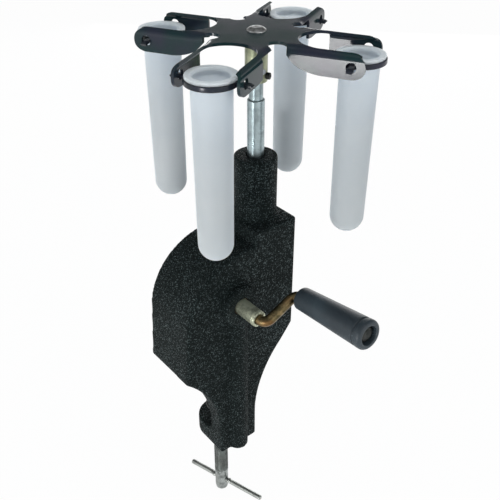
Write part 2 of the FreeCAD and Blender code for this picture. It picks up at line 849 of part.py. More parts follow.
def make_wheel():
    """The worm wheel: a rim with helical teeth, a thin web and a long hub."""
    lead_angle = math.radians(SIZES["worm_lead_angle"])
    pitch_r = wheel_r.value
    width = SIZES["wheel_width"]
    thin = SIZES["backlash"] / 2 / math.cos(lead_angle)
    teeth = SIZES["wheel_teeth"]
    section = gear_section(teeth, pitch_r, lead_angle, thin, math.pi / teeth)
    lead = 2 * math.pi * pitch_r / math.tan(lead_angle)
    rim = screw_sweep(section, lead, width, -width / 2)
    rim_r = pitch_r - TOOTH_DEPTH * tooth_size.value - SIZES["wheel_rim"]
    hub_r, hub_long = SIZES["hub_r"], SIZES["hub_long"]
    hollow = (width - SIZES["wheel_web"]) / 2
    for foot in (-width / 2, width / 2 - hollow):
        start = FreeCAD.Vector(0, 0, foot)
        ring = Part.makeCylinder(rim_r, hollow, start).cut(Part.makeCylinder(hub_r, hollow, start))
        rim = rim.cut(ring)
    hub = Part.makeCylinder(hub_r, hub_long, FreeCAD.Vector(0, 0, -hub_long / 2))
    bore = Part.makeCylinder(SIZES["shaft_r"] + SIZES["slip"], 2 * hub_long,
                             FreeCAD.Vector(0, 0, -hub_long))
    pin_at = FreeCAD.Vector(-2 * hub_r, 0, -pin_offset().value)
    pin_hole = Part.makeCylinder(SIZES["pin_r"] + SIZES["slip"], 4 * hub_r, pin_at,
                                 FreeCAD.Vector(1, 0, 0))
    wheel = rim.fuse(hub).cut(bore).cut(pin_hole)
    solid_feature("drive_wheel", wheel.Solids[0], S.crank_x, S.spindle_y, S.crank_z, FORWARD)


def pin_offset():
    """How far behind the wheel's middle its pin lies, in the bare part of the hub."""
    return S.wheel_width / 2 + (S.hub_long - S.wheel_width) / 4


def make_worm():
    """The worm: three threads on a plain bore, with a cross hole near its top for its pin."""
    lead_angle = math.radians(SIZES["worm_lead_angle"])
    pitch_r = worm_r.value
    long = SIZES["worm_long"]
    helix_angle = math.pi / 2 - lead_angle
    thin = SIZES["backlash"] / 2 / math.cos(helix_angle)
    section = gear_section(SIZES["worm_starts"], pitch_r, helix_angle, thin, math.pi)
    lead = 2 * math.pi * pitch_r * math.tan(lead_angle)
    worm = screw_sweep(section, lead, long, -long / 2)
    bore = Part.makeCylinder(SIZES["toe_r"] + SIZES["slip"], 3 * long,
                             FreeCAD.Vector(0, 0, -1.5 * long))
    pin_at = FreeCAD.Vector(0, -2 * pitch_r, long / 2 - SIZES["worm_pin_in"])
    pin_hole = Part.makeCylinder(SIZES["pin_r"] + SIZES["slip"], 4 * pitch_r, pin_at,
                                 FreeCAD.Vector(0, 1, 0))
    worm = worm.cut(bore).cut(pin_hole)
    solid_feature("worm", worm.Solids[0], spindle_x, S.spindle_y, S.crank_z)


def make_crank():
    """Shaft, pins and washers on the crank's axis; heights are measured towards the crank."""
    shaft_end = S.front_depth + S.boss_out + S.shaft_out
    shaft_foot = -(cover_y + S.root_in)
    bore_r = S.arm_rod_r + S.slip
    body = turned("crank_shaft", [
        (0, shaft_foot), (S.shaft_r - S.shaft_chamfer, shaft_foot),
        (S.shaft_r, shaft_foot + S.shaft_chamfer),
        (S.shaft_r, shaft_end - S.shaft_end_chamfer),
        (S.shaft_r - S.shaft_end_chamfer, shaft_end), (bore_r, shaft_end),
        (bore_r, shaft_end - S.arm_stub), (0, shaft_end - S.arm_stub),
    ], S.crank_x, 0, S.crank_z, FORWARD)
    pin_z = -(S.spindle_y + pin_offset())
    peg(body, "wheel_pin_hole", S.pin_r + S.slip, 4 * S.shaft_r, -2 * S.shaft_r, 0, pin_z,
        RIGHTWARD, cut=True)
    body = new_body("wheel_pin", S.crank_x, 0, S.crank_z, FORWARD)
    peg(body, "wheel_pin_shank", S.pin_r, 2 * S.hub_r, -S.hub_r, 0, pin_z, RIGHTWARD)
    inner = S.shaft_r + S.running
    outer = S.hub_r
    thick = S.washer_thick
    front_inner = -(front_y + S.front_wall + front_boss_in)
    turned("front_thrust_washer", [(inner, 0), (outer, 0), (outer, thick), (inner, thick)],
           S.crank_x, -(front_inner - S.end_play - thick), S.crank_z, FORWARD)
    turned("rear_thrust_washer", [(inner, 0), (outer, 0), (outer, thick), (inner, thick)],
           S.crank_x, cover_y + S.root_in - rear_boss_in - S.end_play, S.crank_z, FORWARD)


def rounded_path(points, radius):
    """Straight runs joined by arcs of one radius that touch both runs."""
    edges = []
    here = points[0]
    for before, corner, after in zip(points, points[1:], points[2:]):
        into = (corner - before).normalize()
        out = (after - corner).normalize()
        bend = into.getAngle(out)
        back = radius * math.tan(bend / 2)
        start = corner - into * back
        end = corner + out * back
        to_centre = (out - into).normalize()
        centre = corner + to_centre * (radius / math.cos(bend / 2))
        middle = centre - to_centre * radius
        if (start - here).Length > 1e-6:
            edges.append(Part.LineSegment(here, start).toShape())
        edges.append(Part.Arc(start, middle, end).toShape())
        here = end
    edges.append(Part.LineSegment(here, points[-1]).toShape())
    return Part.Wire(edges)


def grip_place():
    """Foot of the grip's axis, in the plane of the arm, and the turn that lays it along."""
    angle = S.arm_angle
    x = S.crank_x + S.arm_throw * cosine(angle)
    z = S.crank_z + S.arm_throw * sine(angle)
    y = -(S.front_depth + S.boss_out + S.shaft_out + S.arm_out)
    turn = FreeCAD.Rotation(FreeCAD.Vector(1, 0, 0), 90 - SIZES["grip_tilt"])
    return x, y, z, turn


def make_crank_arm():
    """One bent rod: a stub in the shaft, the throw, and the pin that the grip turns on."""
    x, y, z, turn = grip_place()
    pin_way = turn.multVec(FreeCAD.Vector(0, 0, 1))
    corner = vector(x, y, z)
    shaft_end = -(SIZES["front_depth"] + SIZES["boss_out"] + SIZES["shaft_out"])
    stub = vector(S.crank_x, shaft_end + SIZES["arm_stub"] - SIZES["stub_gap"], S.crank_z)
    elbow = vector(S.crank_x, y, S.crank_z)
    rod_r = SIZES["arm_rod_r"]
    shoulder = corner + pin_way * (SIZES["arm_bend_r"] + SIZES["pin_root"])
    path = rounded_path([stub, elbow, corner, shoulder], SIZES["arm_bend_r"])
    section = Part.Wire(Part.Circle(stub, FreeCAD.Vector(0, -1, 0), rod_r).toShape())
    rod = path.makePipeShell([section], True, True)
    pin_long = (grip_foot() + S.grip_long - S.grip_recess + S.grip_washer_thick
                + S.pin_play).value
    pin = Part.makeCylinder(SIZES["grip_pin_r"], pin_long + SIZES["rivet_high"], corner, pin_way)
    arm = rod.fuse(pin)
    head_at = corner + pin_way * pin_long
    head = Part.makeCylinder(SIZES["rivet_r"], SIZES["rivet_high"], head_at, pin_way)
    rim = [edge for edge in head.Edges if (edge.BoundBox.Center - head_at).dot(pin_way) > 0.9
           * SIZES["rivet_high"]]
    head = head.makeFillet(SIZES["rivet_high"] * 0.6, rim)
    arm = arm.fuse(head).removeSplitter()
    solid_feature("crank_arm", arm.Solids[0])


def grip_foot():
    """Distance from the arm's centre plane to the grip's base, along the grip's axis."""
    return S.arm_rod_r + S.grip_gap


def make_grip():
    """A tapered moulded grip with a ring groove near its end and a recess for the rivet."""
    x, y, z, turn = grip_place()
    foot = grip_foot()
    top = foot + S.grip_long
    bore = S.grip_pin_r + S.running
    slope = (S.grip_end_r - S.grip_base_r) / S.grip_long
    groove = top - S.grip_groove_at
    groove_r = S.grip_base_r + slope * (groove - foot)
    floor = top - S.grip_recess
    edge = S.grip_edge
    rod_seat = S.arm_rod_r + S.grip_seat_room
    seat_top = foot + S.arm_bend_r
    turned("handle_grip", [
        (rod_seat, foot),
        (S.grip_base_r - edge, foot),
        (S.grip_base_r, foot + edge),
        (groove_r, groove),
        (groove_r - S.grip_groove, groove + S.grip_groove),
        (groove_r - S.grip_groove, groove + 2 * S.grip_groove),
        (groove_r + S.grip_groove_lip, groove + 3 * S.grip_groove),
        (S.grip_end_r, top - edge),
        (S.grip_end_r - edge, top),
        (S.grip_recess_r, top),
        (S.grip_recess_r, floor),
        (bore, floor),
        (bore, seat_top),
        (rod_seat, seat_top),
    ], x, y, z, turn)
    washer_r = S.grip_recess_r - S.grip_washer_room
    inner = S.grip_pin_r + S.slip
    low = floor + S.grip_washer_lift
    high = low + S.grip_washer_thick
    turned("grip_washer", [(inner, low), (washer_r, low), (washer_r, high), (inner, high)],
           x, y, z, turn)


def make_spindle():
    """The upright spindle, thick in the neck, thin through the worm and under the rotor."""
    foot = S.toe_floor + 2 * S.ball_r + S.running
    worm_top = S.crank_z + S.worm_long / 2
    top = S.rotor_top
    body = turned("spindle", [
        (0, foot), (S.toe_r - S.toe_chamfer, foot), (S.toe_r, foot + S.toe_chamfer),
        (S.toe_r, worm_top), (S.spindle_r, worm_top),
        (S.spindle_r, S.spindle_step_z - S.shaft_chamfer),
        (S.spindle_r - S.shaft_chamfer, S.spindle_step_z),
        (S.spindle_top_r, S.spindle_step_z), (S.spindle_top_r, top),
        (S.rivet_head_r, top), (S.rivet_head_r, top + S.rivet_head_side),
        (S.rivet_head_flat_r, top + S.rivet_head), (0, top + S.rivet_head),
    ], spindle_x, S.spindle_y, 0)
    worm_pin_z = S.crank_z + S.worm_long / 2 - S.worm_pin_in
    peg(body, "worm_pin_hole", S.pin_r + S.slip, 4 * S.spindle_r, 0, 2 * S.spindle_r, worm_pin_z,
        FORWARD, cut=True)
    hub_pin_z = sheet_z - S.rotor_hub_long * 0.75
    peg(body, "hub_pin_hole", S.pin_r + S.slip, 4 * S.spindle_r, 0, 2 * S.spindle_r, hub_pin_z,
        FORWARD, cut=True)
    body = new_body("worm_pin", spindle_x, S.spindle_y, 0)
    peg(body, "worm_pin_shank", S.pin_r, 2 * S.worm_pin_half, 0, S.worm_pin_half, worm_pin_z,
        FORWARD)

    inner = S.spindle_top_r + S.slip
    hub_foot = sheet_z - S.rotor_hub_long
    body = turned("rotor_hub", [
        (inner, hub_foot), (S.rotor_hub_r - S.shaft_chamfer, hub_foot),
        (S.rotor_hub_r, hub_foot + S.shaft_chamfer),
        (S.rotor_hub_r, sheet_z), (inner, sheet_z),
    ], spindle_x, S.spindle_y, 0)
    peg(body, "rotor_pin_hole", S.pin_r + S.slip, 4 * S.rotor_hub_r, 0, 2 * S.rotor_hub_r,
        hub_pin_z, FORWARD, cut=True)
    body = new_body("hub_pin", spindle_x, S.spindle_y, 0)
    peg(body, "hub_pin_shank", S.pin_r, 2 * S.rotor_hub_r, 0, S.rotor_hub_r, hub_pin_z, FORWARD)


def make_rotor_plate():
    """A pressed steel cross: each arm is slotted and folded down into two ears for a bucket."""
    turn = FreeCAD.Rotation(FreeCAD.Vector(0, 0, 1), SIZES["rotor_angle"])
    body = new_body("rotor_plate", spindle_x, S.spindle_y, S.rotor_top, turn)
    reach = S.swing_r + S.ear_depth / 2
    half, thick, bend = S.arm_half, S.sheet_thick, S.ear_bend_r
    inner_bend = bend - thick
    sketch = new_sketch(body, "arm_section", "YZ_Plane")
    outline = Outline(sketch, half, -S.ear_depth)
    outline.line(half, -bend)
    outline.arc(half - bend, -bend, half - bend, 0)
    outline.line(-(half - bend), 0)
    outline.arc(-(half - bend), -bend, -half, -bend)
    outline.line(-half, -S.ear_depth)
    outline.line(-(half - thick), -S.ear_depth)
    outline.line(-(half - thick), -bend)
    outline.arc(-(half - bend), -bend, -(half - bend), -thick, "cw")
    outline.line(half - bend, -thick)
    outline.arc(half - bend, -bend, half - thick, -bend, "cw")
    outline.line(half - thick, -S.ear_depth)
    outline.close()
    arm = pad(body, "arm", sketch, reach)

    sketch = new_sketch(body, "ear_sketch", "XZ_Plane")
    ear_r = S.ear_depth / 2
    drop = S.ear_depth - thick
    across = S.ear_full - S.ear_start
    curve_r = (across * across + drop * drop) / (2 * drop)
    over = S.hole_over
    outline = Outline(sketch, -over, -thick)
    outline.line(S.ear_start, -thick)
    outline.arc(S.ear_full, curve_r - S.ear_depth, S.ear_full, -S.ear_depth)
    outline.line(S.swing_r, -S.ear_depth)
    outline.arc(S.swing_r, -ear_r, S.swing_r, 0)
    outline.line(S.swing_r, over)
    outline.line(reach + over, over)
    outline.line(reach + over, -S.ear_depth - over)
    outline.line(-over, -S.ear_depth - over)
    outline.close()
    ears = pocket(body, "ears", sketch, 4 * half, both=True)

    sketch = new_sketch(body, "slot_sketch", "XY_Plane")
    slot_centre = S.slot_bottom + S.slot_half
    outline = Outline(sketch, reach + over, -S.slot_half)
    outline.line(reach + over, S.slot_half)
    outline.line(slot_centre, S.slot_half)
    outline.arc(slot_centre, 0, slot_centre, -S.slot_half)
    outline.close()
    slot = pocket(body, "slot", sketch, 4 * thick, both=True)

    hole_sketch = new_sketch(body, "ear_hole_sketch", "XZ_Plane")
    circle(hole_sketch, S.swing_r, -ear_r, S.ear_hole_r)
    hole = pocket(body, "ear_holes", hole_sketch, 4 * half, both=True)
    around = body.newObject("PartDesign::PolarPattern", "four_arms")
    around.Originals = [arm, ears, slot, hole]
    around.Axis = (sketch, ["N_Axis"])
    around.Angle = 360
    around.Occurrences = SIZES["bucket_count"]
    around.setExpression("Occurrences", "Sizes.bucket_count")
    body.Tip = around
    doc.recompute()
    for index in range(SIZES["bucket_count"]):
        angle = math.radians(360 / SIZES["bucket_count"] * (index + 0.5))
        x, y = S.notch_at * math.cos(angle), S.notch_at * math.sin(angle)
        peg(body, f"notch_{index + 1}", S.notch_r, 2 * S.ear_depth, x, y, -1.5 * S.ear_depth,
            cut=True)
    peg(body, "spindle_seat", S.spindle_top_r + S.slip, 4 * thick, 0, 0, -2 * thick, cut=True)


def make_bucket(number):
    """A carrier ring with two flat tabs, and the moulded sleeve that hangs in it."""
    angle = SIZES["rotor_angle"] + 360 / SIZES["bucket_count"] * (number - 1)
    turn = FreeCAD.Rotation(FreeCAD.Vector(0, 0, 1), angle)
    x = spindle_x + S.swing_r * math.cos(math.radians(angle))
    y = S.spindle_y + S.swing_r * math.sin(math.radians(angle))
    half = S.ring_thick / 2
    inner = S.sleeve_r + S.ring_slip
    edge = S.ring_chamfer
    body = turned(f"carrier_ring_{number}", [
        (inner, -half), (S.ring_r - edge, -half), (S.ring_r, -half + edge),
        (S.ring_r, half - edge), (S.ring_r - edge, half), (inner, half),
    ], x, y, pivot_z, turn)
    reach = S.arm_half + S.tab_out
    foot = S.ring_r - S.tab_root
    for side, start in (("left", foot), ("right", -reach)):
        box(body, f"tab_{number}_{side}", S.tab_wide, reach - foot, S.tab_thick,
            -S.tab_wide / 2, start, -S.tab_thick / 2)

    top = half + S.flange_thick
    end = top - S.sleeve_long
    dome = end + S.sleeve_end_r
    floor = end + S.sleeve_floor
    inner_dome = floor + S.sleeve_bore_end_r
    turned(f"sleeve_{number}", [
        (0, end),
        (S.sleeve_end_r, dome, 0, dome, "ccw"),
        (S.sleeve_r, half),
        (S.flange_r, half),
        (S.flange_r, top - edge),
        (S.flange_r - edge, top),
        (S.sleeve_bore_r + S.flange_chamfer, top),
        (S.sleeve_bore_r, top - S.flange_chamfer),
        (S.sleeve_bore_r, top - S.flange_chamfer - S.sleeve_seat),
        (S.sleeve_bore_end_r, inner_dome),
        (0, floor, 0, inner_dome, "cw"),
    ], x, y, pivot_z, turn)


def make_clamp():
    """The screw with its staked bar, and the pad that turns freely on the screw's end."""
    foot = -(S.bar_z + S.screw_tail)
    pad_top = -S.pad_top_z
    pin_top = pad_top - S.pad_roof
    pad_r = S.front_depth - S.stem_depth - S.pad_room
    thread_foot = -S.bar_z + S.thread_start
    shoulder = pad_top - S.screw_neck_in
    body = turned("clamp_screw", [
        (0, foot),
        (S.screw_point_r, foot),
        (S.screw_point_side_r, foot + S.screw_point_high),
        (S.screw_tail_r, foot + S.screw_tip_high),
        (S.screw_tail_r, thread_foot - S.thread_run),
        (S.screw_r, thread_foot),
        (S.screw_r, shoulder - S.screw_shoulder_high),
        (S.neck_pin_r, shoulder - S.screw_shoulder_high + S.screw_neck_run),
        (S.neck_pin_r, pin_top),
        (0, pin_top),
    ])
    peg(body, "bar_hole", S.bar_r + S.slip, 4 * S.screw_r, 0, 2 * S.screw_r, -S.bar_z, FORWARD,
        cut=True)
    bar, edge = S.bar_r, S.bar_chamfer
    turned("tommy_bar", [
        (0, -S.bar_rear), (bar - edge, -S.bar_rear), (bar, -S.bar_rear + edge),
        (bar, S.bar_front - edge), (bar - edge, S.bar_front), (0, S.bar_front),
    ], 0, 0, -S.bar_z, FORWARD)
    seat = S.neck_pin_r + S.running
    base = pad_top - S.pad_high
    turned("pressure_pad", [
        (0, pin_top + S.running),
        (seat, pin_top + S.running),
        (seat, base),
        (S.pad_low_r, base),
        (S.pad_low_side_r, base + S.pad_low_high),
        (pad_r - S.pad_edge, pad_top - S.pad_band - S.pad_edge),
        (pad_r, pad_top - S.pad_band),
        (pad_r, pad_top - S.pad_edge),
        (pad_r - S.pad_edge, pad_top),
        (0, pad_top),
    ])


make_housing()
make_cover()
make_cover_screws()
make_bushes()
make_wheel()
make_worm()
make_crank()
make_crank_arm()
make_grip()
make_spindle()
make_rotor_plate()
for bucket in range(1, SIZES["bucket_count"] + 1):
    make_bucket(bucket)
make_clamp()
doc.recompute()

for thing in doc.Objects:
    if "Invalid" in thing.State or "Error" in thing.State:
        raise RuntimeError(f"{thing.Name} did not build: {thing.State}")
for piece in PIECES:
    shape = piece.Shape
    if shape.isNull() or not shape.isValid() or not shape.Solids:
        raise RuntimeError(f"{piece.Label} has no valid solid")

os.makedirs("parts", exist_ok=True)
for piece in PIECES:
    piece.Shape.exportStep(f"parts/{piece.Label}.step")
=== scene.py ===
import json
import math

import bmesh
import bpy
import numpy as np
from mathutils import Matrix, Vector


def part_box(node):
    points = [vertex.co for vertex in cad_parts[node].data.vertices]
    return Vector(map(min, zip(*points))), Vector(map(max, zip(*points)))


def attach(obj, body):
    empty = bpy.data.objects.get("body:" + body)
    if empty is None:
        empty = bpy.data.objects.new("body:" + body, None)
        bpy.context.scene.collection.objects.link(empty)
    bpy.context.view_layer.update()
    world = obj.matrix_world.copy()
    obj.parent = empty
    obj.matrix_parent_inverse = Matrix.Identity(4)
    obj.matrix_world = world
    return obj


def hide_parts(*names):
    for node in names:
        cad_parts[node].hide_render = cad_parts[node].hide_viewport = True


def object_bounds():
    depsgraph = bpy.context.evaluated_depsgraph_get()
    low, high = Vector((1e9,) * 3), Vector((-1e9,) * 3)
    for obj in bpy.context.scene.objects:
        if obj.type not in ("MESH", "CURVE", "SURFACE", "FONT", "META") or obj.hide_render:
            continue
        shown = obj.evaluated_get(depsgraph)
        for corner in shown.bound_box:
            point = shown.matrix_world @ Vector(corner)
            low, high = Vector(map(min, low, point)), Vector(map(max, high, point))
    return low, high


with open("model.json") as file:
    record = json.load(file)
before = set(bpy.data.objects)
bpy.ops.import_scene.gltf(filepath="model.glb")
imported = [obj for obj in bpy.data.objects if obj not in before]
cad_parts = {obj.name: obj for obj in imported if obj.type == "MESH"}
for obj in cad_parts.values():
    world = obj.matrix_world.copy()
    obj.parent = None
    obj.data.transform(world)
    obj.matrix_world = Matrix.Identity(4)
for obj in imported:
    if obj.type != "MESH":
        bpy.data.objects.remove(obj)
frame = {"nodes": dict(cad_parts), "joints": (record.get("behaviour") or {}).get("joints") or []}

# Hand crank centrifuge, dressed around its solids. Shapes are worked out in millimetres and
# put down in metres, in the frame of the solids: +Z up, -Y the crank's side, +X the spindle.

MM = 0.001
ROUND_SIDES = 96

# Points nearer to each other than these, in metres, become one, and faces that meet at more
# than the crease, in degrees, keep a sharp edge

WELD = 1e-6
POLE_WELD = 1e-7
FOLD_WELD = 2e-6
CUT_SNAP = 1e-7
CREASE, NO_CREASE = 32.0, 180.0

box_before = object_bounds()
joints = {joint["name"]: joint for joint in frame["joints"]}


# Camera, fitted to the photograph's straight edges: place in mm, angles in degrees, lens in mm

CAMERA_AT = (-213.63, -297.30, 314.11)
CAMERA_YAW = 39.00
CAMERA_PITCH = 33.39
CAMERA_ROLL = 0.14
CAMERA_LENS = 52.05
SENSOR_WIDTH = 36.0
CLIP_START = 0.01


def set_camera():
    """Looks along the yaw, clockwise from +Y, and down by the pitch, with a slight roll."""
    lens = bpy.data.cameras.new("camera")
    lens.lens = CAMERA_LENS
    lens.sensor_width = SENSOR_WIDTH
    lens.clip_start = CLIP_START
    camera = bpy.data.objects.new("camera", lens)
    bpy.context.scene.collection.objects.link(camera)
    yaw, pitch, roll = (math.radians(a) for a in (CAMERA_YAW, CAMERA_PITCH, CAMERA_ROLL))
    turn = Matrix.Rotation(-yaw, 4, "Z") @ Matrix.Rotation(math.pi / 2 - pitch, 4, "X")
    turn = turn @ Matrix.Rotation(roll, 4, "Z")
    camera.matrix_world = Matrix.Translation(Vector(CAMERA_AT) * MM) @ turn
    bpy.context.scene.camera = camera


# Materials: results of nodes that can be reckoned with, and finishes written with them

class Reading:
    """What a node gives. Sums and products of a varying number add Math nodes."""

    def __init__(self, nodes, socket):
        self.nodes = nodes
        self.socket = socket

    def _math(self, operation, first, second):
        return self.nodes.node("Math", {"operation": operation}, {0: first, 1: second})

    def __add__(self, other):
        return self._math("ADD", self, other)

    def __sub__(self, other):
        return self._math("SUBTRACT", self, other)

    def __mul__(self, other):
        return self._math("MULTIPLY", self, other)

    def __rsub__(self, other):
        return self._math("SUBTRACT", other, self)

    __radd__ = __add__
    __rmul__ = __mul__


class Nodes:
    """The nodes of one material or world, with the output node as the last."""

    def __init__(self, owner, last):
        owner.use_nodes = True
        self.tree = owner.node_tree
        self.tree.nodes.clear()
        self.last = self.tree.nodes.new("ShaderNode" + last)

    def feed(self, node, socket, value):
        if isinstance(value, Reading):
            self.tree.links.new(value.socket, node.inputs[socket])
        else:
            node.inputs[socket].default_value = value

    def node(self, kind, settings=None, sockets=None, result=0):
        """Any node: its settings first, then the values or links of its sockets."""
        made = self.tree.nodes.new("ShaderNode" + kind)
        for setting, value in (settings or {}).items():
            setattr(made, setting, value)
        for socket, value in (sockets or {}).items():
            self.feed(made, socket, value)
        return Reading(self, made.outputs[result])

    def show(self, surface):
        """Links a shader to the output node."""
        self.feed(self.last, "Surface", surface)


class Finish(Nodes):
    """One material: a Principled shader and the nodes that feed it."""

    MIX_SHARE, MIX_FIRST, MIX_SECOND, MIX_RESULT = 0, 6, 7, 2

    def __init__(self, name, **constants):
        self.material = bpy.data.materials.new(name)
        super().__init__(self.material, "OutputMaterial")
        self.surface = self.node("BsdfPrincipled")
        self.show(self.surface)
        self.set(**constants)

    def set(self, **sockets):
        """Feeds the shader; an underscore stands for the space in a socket's name."""
        for socket, value in sockets.items():
            self.feed(self.surface.socket.node, socket.replace("_", " "), value)

    def here(self, stretch=None):
        """The piece's own coordinates in metres, stretched along each axis."""
        spot = self.node("TexCoord", result="Object")
        if stretch is None:
            return spot
        return self.node("Mapping", {}, {"Vector": spot, "Scale": stretch})

    def noise(self, spot, scale, detail=2.0, roughness=0.5):
        return self.node("TexNoise", {}, {"Vector": spot, "Scale": scale, "Detail": detail,
                                          "Roughness": roughness})

    def cells(self, spot, scale, smoothness):
        """Rounded cells: 0 in the middle of each and larger towards its sides."""
        return self.node("TexVoronoi", {"feature": "SMOOTH_F1"},
                         {"Vector": spot, "Scale": scale, "Smoothness": smoothness})

    def step(self, reading, low, high):
        """0 below low, 1 above high and a smooth rise between."""
        return self.node("MapRange", {"interpolation_type": "SMOOTHSTEP"},
                         {"Value": reading, "From Min": low, "From Max": high})

    def mix(self, share, first, second):
        """First where the share is 0 and second where it is 1."""
        return self.node("Mix", {"data_type": "RGBA"},
                         {self.MIX_SHARE: share, self.MIX_FIRST: first, self.MIX_SECOND: second},
                         self.MIX_RESULT)

    def wear(self, low, high):
        """1 on outer edges, where the surface turns away, and 0 on flats."""
        return self.step(self.node("NewGeometry", result="Pointiness"), low, high)

    def close(self, colour, roughness, height, depth, strength=1.0, **varying):
        """Feeds what varies; the height is counted in units of depth, which is in metres."""
        bump = self.node("Bump", {}, {"Strength": strength, "Distance": depth,
                                      "Height": height})
        self.set(Base_Color=colour, Roughness=roughness, Normal=bump, **varying)
        return self.material


def shade(red, green, blue):
    return (red, green, blue, 1.0)


def crackle_paint():
    """Black wrinkle enamel: fine raised grains that glint like metal on a matt black."""
    f = Finish("crackle_paint", Specular_IOR_Level=0.08)
    matt = shade(0.0042, 0.0076, 0.0074)
    glint = shade(0.080, 0.106, 0.107)
    bare = shade(0.10, 0.115, 0.115)
    spot = f.here()
    cells = f.cells(spot, scale=1000.0, smoothness=0.35)
    grains = f.noise(spot, scale=1250.0, detail=2.0, roughness=0.55)
    broad = f.noise(spot, scale=48.0, detail=3.0)
    tops = f.step(1 - cells, 0.42, 0.82)
    speck = f.step(grains + (tops - 0.5) * 0.14 + (broad - 0.5) * 0.14, 0.49, 0.67)
    rubbed = f.wear(0.53, 0.60) * f.step(broad, 0.35, 0.7)
    colour = f.mix(speck, matt, glint)
    colour = f.mix(rubbed * 0.3, colour, bare)
    rough = 0.70 - speck * 0.34 + (broad - 0.5) * 0.12
    return f.close(colour, rough, tops + grains * 1.4, depth=0.0006, Metallic=speck * 0.9)


def gloss_black(name, tint, gloss):
    """Stoved gloss enamel on pressed steel: an orange-peel skin, bluish clouds and dust."""
    f = Finish(name, Specular_IOR_Level=0.22, Coat_Roughness=0.06, Coat_IOR=1.5)
    bluish = shade(0.018, 0.020, 0.034)
    dusty = shade(0.09, 0.11, 0.12)
    spot = f.here()
    peel = f.noise(spot, scale=300.0, detail=2.0)
    dust = f.noise(spot, scale=1700.0, detail=2.0, roughness=0.7)
    broad = f.noise(spot, scale=34.0, detail=2.0)
    clouded = f.mix(f.step(broad, 0.35, 0.68), tint, bluish)
    colour = f.mix(f.step(dust, 0.62, 0.76) * 0.28, clouded, dusty)
    rough = gloss - 0.06 + broad * 0.12 + f.step(dust, 0.58, 0.8) * 0.1
    return f.close(colour, rough, peel, depth=0.00004, strength=0.5, Coat_Weight=broad * 0.06)


def turned_metal(name, bright, dull, along="Z", lines=2600.0, shine=0.2, spots=0.0,
                 metal=1.0):
    """Bare metal with fine turning lines square to its axis, a few dull clouds and spots."""
    f = Finish(name, Metallic=metal)
    dark = shade(0.05, 0.045, 0.04)
    squeeze = {"Y": (0.04, 1.0, 0.04), "Z": (0.04, 0.04, 1.0)}[along]
    grooves = f.noise(f.here(squeeze), scale=lines, detail=3.0, roughness=0.65)
    clouds = f.noise(f.here(), scale=140.0, detail=4.0, roughness=0.6)
    stain = f.step(clouds, 0.42, 0.68)
    colour = f.mix(stain, bright, dull)
    if spots:
        pits = f.step(f.noise(f.here(), scale=900.0), 0.60, 0.70)
        colour = f.mix(pits * spots, colour, dark)
    rough = shine + grooves * 0.16 + stain * 0.10
    return f.close(colour, rough, grooves, depth=0.00003, strength=0.5)


def plated(name, bright, dull, warm, shine, pitted=0.45):
    """Plating on steel: clouds of two tones, warmer stains and a pitted skin."""
    f = Finish(name, Metallic=1.0)
    dark = shade(0.03, 0.028, 0.025)
    spot = f.here()
    clouds = f.noise(spot, scale=210.0, detail=4.0, roughness=0.6)
    stains = f.noise(spot, scale=75.0, detail=3.0, roughness=0.5)
    pits = f.noise(spot, scale=1300.0, detail=2.0, roughness=0.6)
    colour = f.mix(f.step(clouds, 0.40, 0.64), bright, dull)
    colour = f.mix(f.step(stains, 0.46, 0.66) * 0.7, colour, warm)
    colour = f.mix(f.step(pits, 0.57, 0.70) * pitted, colour, dark)
    rough = shine + clouds * 0.16 + pits * 0.1
    return f.close(colour, rough, pits + clouds * 0.5, depth=0.00006, strength=0.6)


def black_grip():
    """Moulded black plastic with a soft bluish sheen, fine grain and handled edges."""
    f = Finish("black_grip", Specular_IOR_Level=0.42, Coat_Roughness=0.35)
    deep = shade(0.014, 0.022, 0.029)
    worn = shade(0.026, 0.040, 0.050)
    handled = shade(0.06, 0.07, 0.08)
    dusty = shade(0.07, 0.08, 0.085)
    spot = f.here()
    grain = f.noise(spot, scale=1200.0, detail=3.0, roughness=0.6)
    broad = f.noise(spot, scale=62.0, detail=3.0)
    colour = f.mix(f.step(broad, 0.3, 0.7), deep, worn)
    colour = f.mix(f.wear(0.52, 0.60) * 0.35, colour, handled)
    colour = f.mix(f.step(grain, 0.60, 0.72) * 0.3, colour, dusty)
    rough = 0.36 + grain * 0.14 + broad * 0.10
    return f.close(colour, rough, grain, depth=0.00008, strength=0.5,
                   Coat_Weight=0.02 + broad * 0.08)


def frosted_plastic():
    """Milky moulded plastic: light sinks into it, with flow marks and faint scuffs."""
    f = Finish("frosted_plastic", Subsurface_Weight=1.0, Subsurface_Scale=0.012,
               Subsurface_Radius=(1.0, 1.0, 1.0), Specular_IOR_Level=0.35)
    milky = shade(0.655, 0.79, 0.93)
    pale = shade(0.70, 0.83, 0.96)
    scuffed = shade(0.78, 0.85, 0.92)
    spot = f.here()
    flow = f.noise(f.here((1.0, 1.0, 0.12)), scale=150.0, detail=3.0)
    scuffs = f.noise(spot, scale=900.0, detail=3.0, roughness=0.7)
    broad = f.noise(spot, scale=28.0, detail=2.0)
    colour = f.mix(f.step(broad, 0.3, 0.7), milky, pale)
    colour = f.mix(f.step(scuffs, 0.58, 0.72) * 0.3, colour, scuffed)
    rough = 0.42 + scuffs * 0.14 + flow * 0.06
    return f.close(colour, rough, flow + scuffs * 0.3, depth=0.00005, strength=0.35)


def gasket_paper():
    """Oiled brown gasket paper with short fibres."""
    f = Finish("gasket_paper", Specular_IOR_Level=0.3)
    oiled = shade(0.09, 0.055, 0.03)
    dry = shade(0.20, 0.14, 0.085)
    fibres = f.noise(f.here((1.0, 1.0, 6.0)), scale=700.0, detail=4.0, roughness=0.7)
    colour = f.mix(f.step(fibres, 0.35, 0.7), oiled, dry)
    return f.close(colour, 0.6 + fibres * 0.2, fibres, depth=0.00006, strength=0.5)


